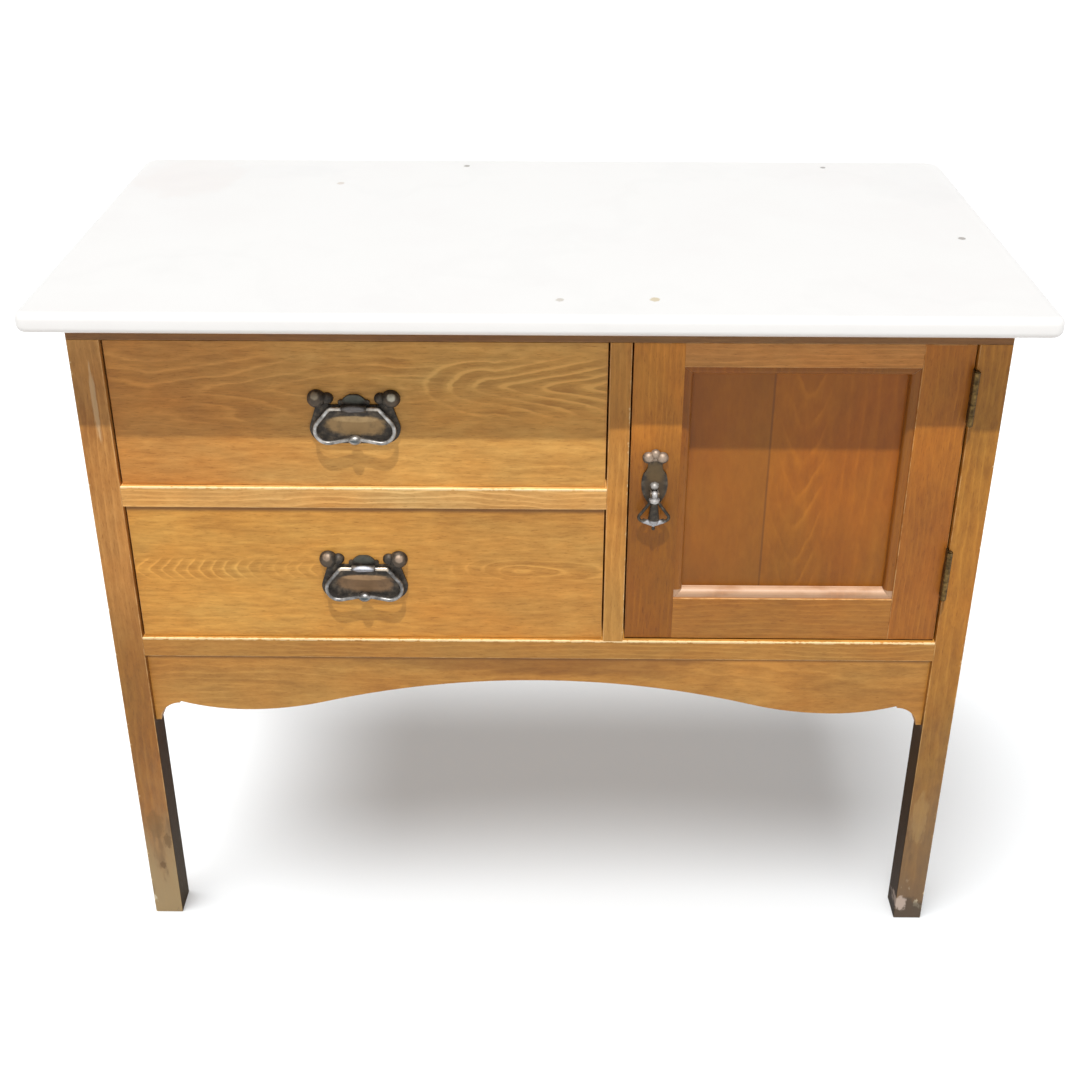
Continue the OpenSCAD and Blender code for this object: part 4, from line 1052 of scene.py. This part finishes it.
@dataclass(frozen=True)
class Metals:
    """The cast, steel and brass finishes of the fittings, made of the shared effects."""

    # Where the two bails and the door's drop hang
    PIVOTS: ClassVar[dict[str, Place]] = {
        "upper": (-0.1707, -0.1958, 0.63775),
        "lower": (-0.1707, -0.1958, 0.46175),
        "door": (0.1102, -0.1990, 0.550),
    }
    DARK: ClassVar[tuple[str, str, str]] = ("231f1b", "37312a", "554b3f")
    BRASS: ClassVar[tuple[str, ...]] = (
        "hinge_leaves_fixed", "hinge_leaves_moving", "hinge_pins", "ball_catch", "strike_plate")
    STEELS: ClassVar[dict[str, tuple[str, str, str]]] = {
        "upper": ("5b5854", "8d8a86", "b4b2af"), "lower": ("4a4744", "6f6d6b", "9b9997")}
    # The colours of each plate's rubbed dish, the painted highlight on its upper rim and the painted highlights on
    # its left and right balls
    PLATE_WEAR_AND_HIGHLIGHTS: ClassVar[dict[str, tuple[str, str, str, str]]] = {
        "upper": ("957850", "b5986c", "a3967f", "cfcab8"), "lower": ("7b5f43", "b39069", "98836f", "a08b78")}
    # The colour and share of each barrel's painted highlight, and the share of the painted highlights on each bail's
    # upper bar
    BARREL_HIGHLIGHTS: ClassVar[dict[str, tuple[str, float]]] = {"upper": ("868484", 0.7), "lower": ("b4b7bf", 0.9)}
    BAR_HIGHLIGHTS: ClassVar[dict[str, float]] = {"upper": 0.3, "lower": 0.85}

    effects: Effects

    def _patina(
        self, name: str, shades: tuple[str, str, str], spots: tuple[Mark, ...], bright: bool = False
    ) -> bpy.types.Material:
        """Makes metal with a mottled patina, rubbed paler or left darker in places, with painted highlights and
        painted shade where its spots say.

        Args:
            name: the material's name.
            shades: its colours from the darkest to the palest.
            spots: each spot's centre, reach, colour and share.
            bright: worn steel instead of dark cast metal.

        Returns:
            The material.
        """
        finish = Finish(name, self.effects)
        graph = finish.graph
        mottle = graph.noise(finish.place, 150.0 if bright else 200.0, 4.0, 0.55)
        finish.colour = graph.ramp(mottle, *((at, tone(shade)) for at, shade in zip((0.3, 0.5, 0.7), shades)))
        for centre, reach, shade, share in spots:
            finish.spot(centre, reach, shade, graph.rise(mottle, 0.25, 0.6, share * 0.7, share), 0.7)
        finish.set(Metallic=0.9 if bright else 0.6, Roughness=0.42 if bright else 0.55)
        finish.bump(mottle, 0.0003, 0.3 if bright else 0.5)
        return finish.material

    def _brass(self) -> bpy.types.Material:
        """Makes tarnished brass.

        Returns:
            The material.
        """
        finish = Finish("old_brass", self.effects)
        graph = finish.graph
        mottle = graph.noise(finish.place, 200.0, 4.0, 0.6)
        colour = graph.ramp(mottle, (0.35, tone("3a2c18")), (0.55, tone("5e4928")), (0.75, tone("8c6f3f")))
        finish.set(Base_Color=colour, Metallic=0.9, Roughness=graph.maths("MULTIPLY_ADD", mottle, 0.3, 0.3))
        finish.bump(mottle, 0.00015, 0.4)
        return finish.material

    def _drawer_handle(self, name: str) -> None:
        """Dresses the plate and the bail of one drawer.

        Args:
            name: which drawer.
        """
        x, y, z = self.PIVOTS[name]
        deep, rim, left, right = self.PLATE_WEAR_AND_HIGHLIGHTS[name]
        spots = (
            ((x - 0.011, y, z - 0.0195), (0.0195, 0.02, 0.0115), deep, 0.9),
            ((x + 0.013, y, z - 0.0195), (0.0185, 0.02, 0.0115), deep, 0.9),
            ((x, y, z - 0.0215), (0.016, 0.02, 0.0095), deep, 0.9),
            # A painted highlight along the dish's upper rim
            ((x, y, z - 0.0125), (0.026, 0.02, 0.0042), rim, 0.75),
            ((x - 0.036, y - 0.006, z + 0.010), (0.0082, 0.012, 0.0082), "54473a", 0.8),
            ((x + 0.036, y - 0.006, z + 0.010), (0.0082, 0.012, 0.0082), "54473a", 0.8),
            # Painted highlights on the two balls
            ((x - 0.0355, y - 0.006, z + 0.0145), (0.0052, 0.012, 0.0042), left, 0.6),
            ((x + 0.0355, y - 0.006, z + 0.0130), (0.0050, 0.012, 0.0040), right, 0.65),
            # A painted highlight on the barrel
            ((x, y - 0.003, z), (0.0125, 0.006, 0.0045), *self.BARREL_HIGHLIGHTS[name]),
            ((x, y, z + 0.009), (0.013, 0.02, 0.006), "4c4d45", 0.8),
        )
        show_smooth(name + "_handle_plate", 40, self._patina(name + "_plate_patina", self.DARK, spots))
        spots = (
            # Painted highlights on the bail's upper bar
            ((x - 0.0185, y, z), (0.0075, 0.02, 0.003), "cdbda8", self.BAR_HIGHLIGHTS[name]),
            ((x + 0.0185, y, z), (0.0075, 0.02, 0.003), "cdbda8", self.BAR_HIGHLIGHTS[name]),
            # A dark band painted across the bead's middle: painted shade
            ((x, y, z - 0.0306), (0.0052, 0.02, 0.0017), "3c4548", 0.9),
        )
        steel = self._patina(name + "_bail_steel", self.STEELS[name], spots, bright=True)
        show_smooth(name + "_handle_bail", 50, steel)

    def _door_handle(self) -> None:
        """Dresses the plate and the drop of the door."""
        x, y, z = self.PIVOTS["door"]
        spots = (
            ((x, y - 0.002, z + 0.0385), (0.017, 0.02, 0.0085), "a4907e", 0.85),
            ((x, y, z + 0.004), (0.0125, 0.02, 0.019), "4c3d2b", 0.8),
            ((x, y, z + 0.020), (0.012, 0.02, 0.014), "5d4a2e", 0.8),
            ((x, y, z + 0.006), (0.005, 0.02, 0.005), "a39f9a", 0.9),
        )
        show_smooth("door_handle_plate", 40, self._patina("door_plate_patina", self.DARK, spots))
        spots = (
            ((x, y, z - 0.002), (0.0075, 0.02, 0.0075), "b3b0ae", 0.9),
            ((x, y, z - 0.031), (0.014, 0.02, 0.0048), "aaaaad", 0.9),
        )
        show_smooth("door_handle_drop", 50, self._patina("drop_patina", self.DARK, spots))

    def build(self) -> None:
        """Dresses every metal piece."""
        brass = self._brass()
        for name in ("upper", "lower"):
            self._drawer_handle(name)
        self._door_handle()
        for node in frame["nodes"]:
            if "screws" in node or node in self.BRASS:
                show_smooth(node, 35, brass)


@dataclass(frozen=True)
class Sun:
    """A distant lamp: its name and strength, and its height, side and width in degrees.

    The height is above the horizon, and the side is how far it stands to the right of the front.
    """

    name: str
    strength: float
    height: float
    side: float = -4.0
    width: float = 0.8


class Studio:
    """The room, the light and the camera."""

    KEY: ClassVar[Sun] = Sun("key", 5.0, 73.4)
    DOOR_KEY: ClassVar[Sun] = Sun("door_key", 4.4, 71.2)
    SLAB_KEY: ClassVar[Sun] = Sun("slab_key", 3.05, 63.0, width=20.0)
    FLOOR_KEY: ClassVar[Sun] = Sun("floor_key", 5.6, 75.8, -60.0, 50.0)
    # The share of the key light that passes the handles, which softens their shadows
    THROUGH: ClassVar[float] = 0.4
    # How far from the origin the suns are put, which changes nothing in their light
    SUN_OFF: ClassVar[float] = 4.0
    # The soft lamp's strength, sides and place, and the way that its back faces
    FILL: ClassVar[float] = 12.0
    FILL_SIDES: ClassVar[tuple[float, float]] = (3.0, 2.0)
    FILL_PLACE: ClassVar[Place] = (0.0, -3.6, 1.3)
    FILL_BACK: ClassVar[Place] = (0.0, -3.6, 0.85)
    WORLD: ClassVar[float] = 0.2
    # The floor's size and how far back its middle lies, its colour as lit and as seen, and the glow that
    # brings it to white
    FLOOR_SIZE: ClassVar[float] = 60.0
    FLOOR_BACK: ClassVar[float] = 10.0
    FLOOR_LIT: ClassVar[Colour] = (0.43, 0.42, 0.41, 1.0)
    FLOOR_SEEN: ClassVar[Colour] = (0.605, 0.62, 0.63, 1.0)
    FLOOR_GLOW: ClassVar[float] = 0.255
    # The camera in the photograph's pixels, and its place and turns
    PICTURE: ClassVar[float] = 1080.0
    FOCAL: ClassVar[float] = 1386.5
    RAISED: ClassVar[float] = -180.0
    FILM: ClassVar[float] = 36.0
    EYE: ClassVar[Place] = (0.0099, -1.3303, 1.2292)
    TURN: ClassVar[float] = 0.433
    TILT: ClassVar[float] = 64.544
    ROLL: ClassVar[float] = 0.138

    def build(self) -> None:
        """Makes the floor, the lamps, the world and the camera."""
        floor = self._floor()
        slab = bpy.data.objects["marble_top_shown"]
        door = [o for o in bpy.data.objects if o.name.startswith("door_")]
        handles = [o for o in bpy.data.objects if "_handle_" in o.name]
        rails = [bpy.data.objects[name] for name in ("drawer_rail_shown", "bottom_rail_front_shown")]
        for through, share in (rails, 1.0 - self.THROUGH), (rails + handles, self.THROUGH):
            self._sun(self.KEY, "EXCLUDE", [floor, slab, *door], through, share)
            self._sun(self.DOOR_KEY, "INCLUDE", door, through, share)
        self._sun(self.SLAB_KEY, "INCLUDE", [slab])
        self._sun(self.FLOOR_KEY, "INCLUDE", [floor])
        self._fill()
        self._world()
        self._camera()

    def _floor(self) -> Thing:
        """Lays a plain pale floor.

        Returns:
            The floor.
        """
        bpy.ops.mesh.primitive_grid_add(
            x_subdivisions=4, y_subdivisions=4, size=self.FLOOR_SIZE, location=(0.0, self.FLOOR_BACK, 0.0))
        floor = bpy.context.active_object
        floor.name = "floor"
        bpy.ops.object.transform_apply(location=True, rotation=True, scale=True)
        material = bpy.data.materials.new("floor_white")
        material.use_nodes = True
        graph = Graph(material.node_tree)
        lit = graph.add("BsdfDiffuse", self.FLOOR_LIT)
        plain = graph.add("BsdfDiffuse", self.FLOOR_SEEN)
        glow = graph.add("Emission", WHITE, self.FLOOR_GLOW)
        bright = graph.add("AddShader", plain.outputs[0], glow.outputs[0])
        mix = graph.add("MixShader", graph.seen(), lit.outputs[0], bright.outputs[0])
        graph.add("OutputMaterial", mix.outputs[0])
        dress(floor, material)
        return floor

    @staticmethod
    def _hang(light: bpy.types.Light, place: Vector, back: Vector) -> Thing:
        """Puts a lamp in the scene.

        Args:
            light: the lamp's light.
            place: where it stands.
            back: the way that its back faces.

        Returns:
            The lamp.
        """
        lamp = bpy.data.objects.new(light.name, light)
        bpy.context.scene.collection.objects.link(lamp)
        lamp.rotation_mode = "QUATERNION"
        lamp.rotation_quaternion = back.to_track_quat("Z", "Y")
        lamp.location = place
        return lamp

    def _sun(
        self, sun: Sun, how: str, named: Sequence[Thing], through: Sequence[Thing] = (), share: float = 1.0
    ) -> None:
        """Adds a distant lamp that lights either some objects alone or all but those.

        Args:
            sun: the lamp.
            how: INCLUDE lights the named objects alone and EXCLUDE all the others.
            named: the named objects.
            through: objects that cast no shadow from it.
            share: how much of its strength it has.
        """
        light = bpy.data.lights.new(sun.name, "SUN")
        light.energy = sun.strength * share
        light.angle = math.radians(sun.width)
        up, about = math.radians(sun.height), math.radians(sun.side)
        towards = Vector((math.sin(about) * math.cos(up), -math.cos(about) * math.cos(up), math.sin(up)))
        linking = self._hang(light, towards * self.SUN_OFF, towards).light_linking
        linking.receiver_collection = self._linked(sun.name + "_lights", named, how)
        if through:
            linking.blocker_collection = self._linked(sun.name + "_passes", through, "EXCLUDE")

    @staticmethod
    def _linked(name: str, objects: Sequence[Thing], how: str) -> bpy.types.Collection:
        """Collects objects for a lamp to take in or to leave out.

        Args:
            name: the collection's name.
            objects: the objects.
            how: INCLUDE or EXCLUDE.

        Returns:
            The collection.
        """
        kept = bpy.data.collections.new(name)
        for obj in objects:
            kept.objects.link(obj)
        for entry in kept.collection_objects:
            entry.light_linking.link_state = how
        return kept

    def _fill(self) -> None:
        """Hangs a broad soft lamp in front, turned to the middle of the washstand."""
        light = bpy.data.lights.new("front_fill", "AREA")
        light.shape = "RECTANGLE"
        light.size, light.size_y = self.FILL_SIDES
        light.energy = self.FILL
        self._hang(light, Vector(self.FILL_PLACE), Vector(self.FILL_BACK))

    def _world(self) -> None:
        """Makes an even pale room, white where it is seen."""
        world = bpy.data.worlds.new("room")
        world.use_nodes = True
        graph = Graph(world.node_tree)
        strength = graph.maths("MULTIPLY_ADD", graph.seen(), 1.0 - self.WORLD, self.WORLD)
        graph.add("OutputWorld", graph.add("Background", WHITE, strength).outputs[0])
        bpy.context.scene.world = world
        bpy.context.scene.view_settings.view_transform = "Standard"

    def _camera(self) -> None:
        """Places the camera of the matched view."""
        camera = bpy.data.cameras.new("view")
        camera.sensor_width = self.FILM
        camera.lens = self.FOCAL / self.PICTURE * self.FILM
        camera.shift_y = self.RAISED / self.PICTURE
        eye = bpy.data.objects.new("view", camera)
        bpy.context.scene.collection.objects.link(eye)
        eye.location = self.EYE
        turn, tilt, roll = (
            Matrix.Rotation(math.radians(angle), 3, axis)
            for angle, axis in ((self.TURN, "Z"), (self.TILT, "X"), (self.ROLL, "Z")))
        eye.rotation_euler = (turn @ tilt @ roll).to_euler()
        bpy.context.scene.camera = eye


def main() -> None:
    """Builds the washstand's looks in order."""
    logging.basicConfig(level=logging.INFO, format="%(message)s")
    bpy.ops.object.select_all(action="DESELECT")
    effects = Effects()
    wood = WoodFinish(effects)
    arrises = Arrises()
    Carcass(wood, arrises).build()
    Drawers(wood, arrises).build()
    Door(wood, arrises).build()
    Marble().build(effects)
    Metals(effects).build()
    Studio().build()


if __name__ == "__main__":
    main()
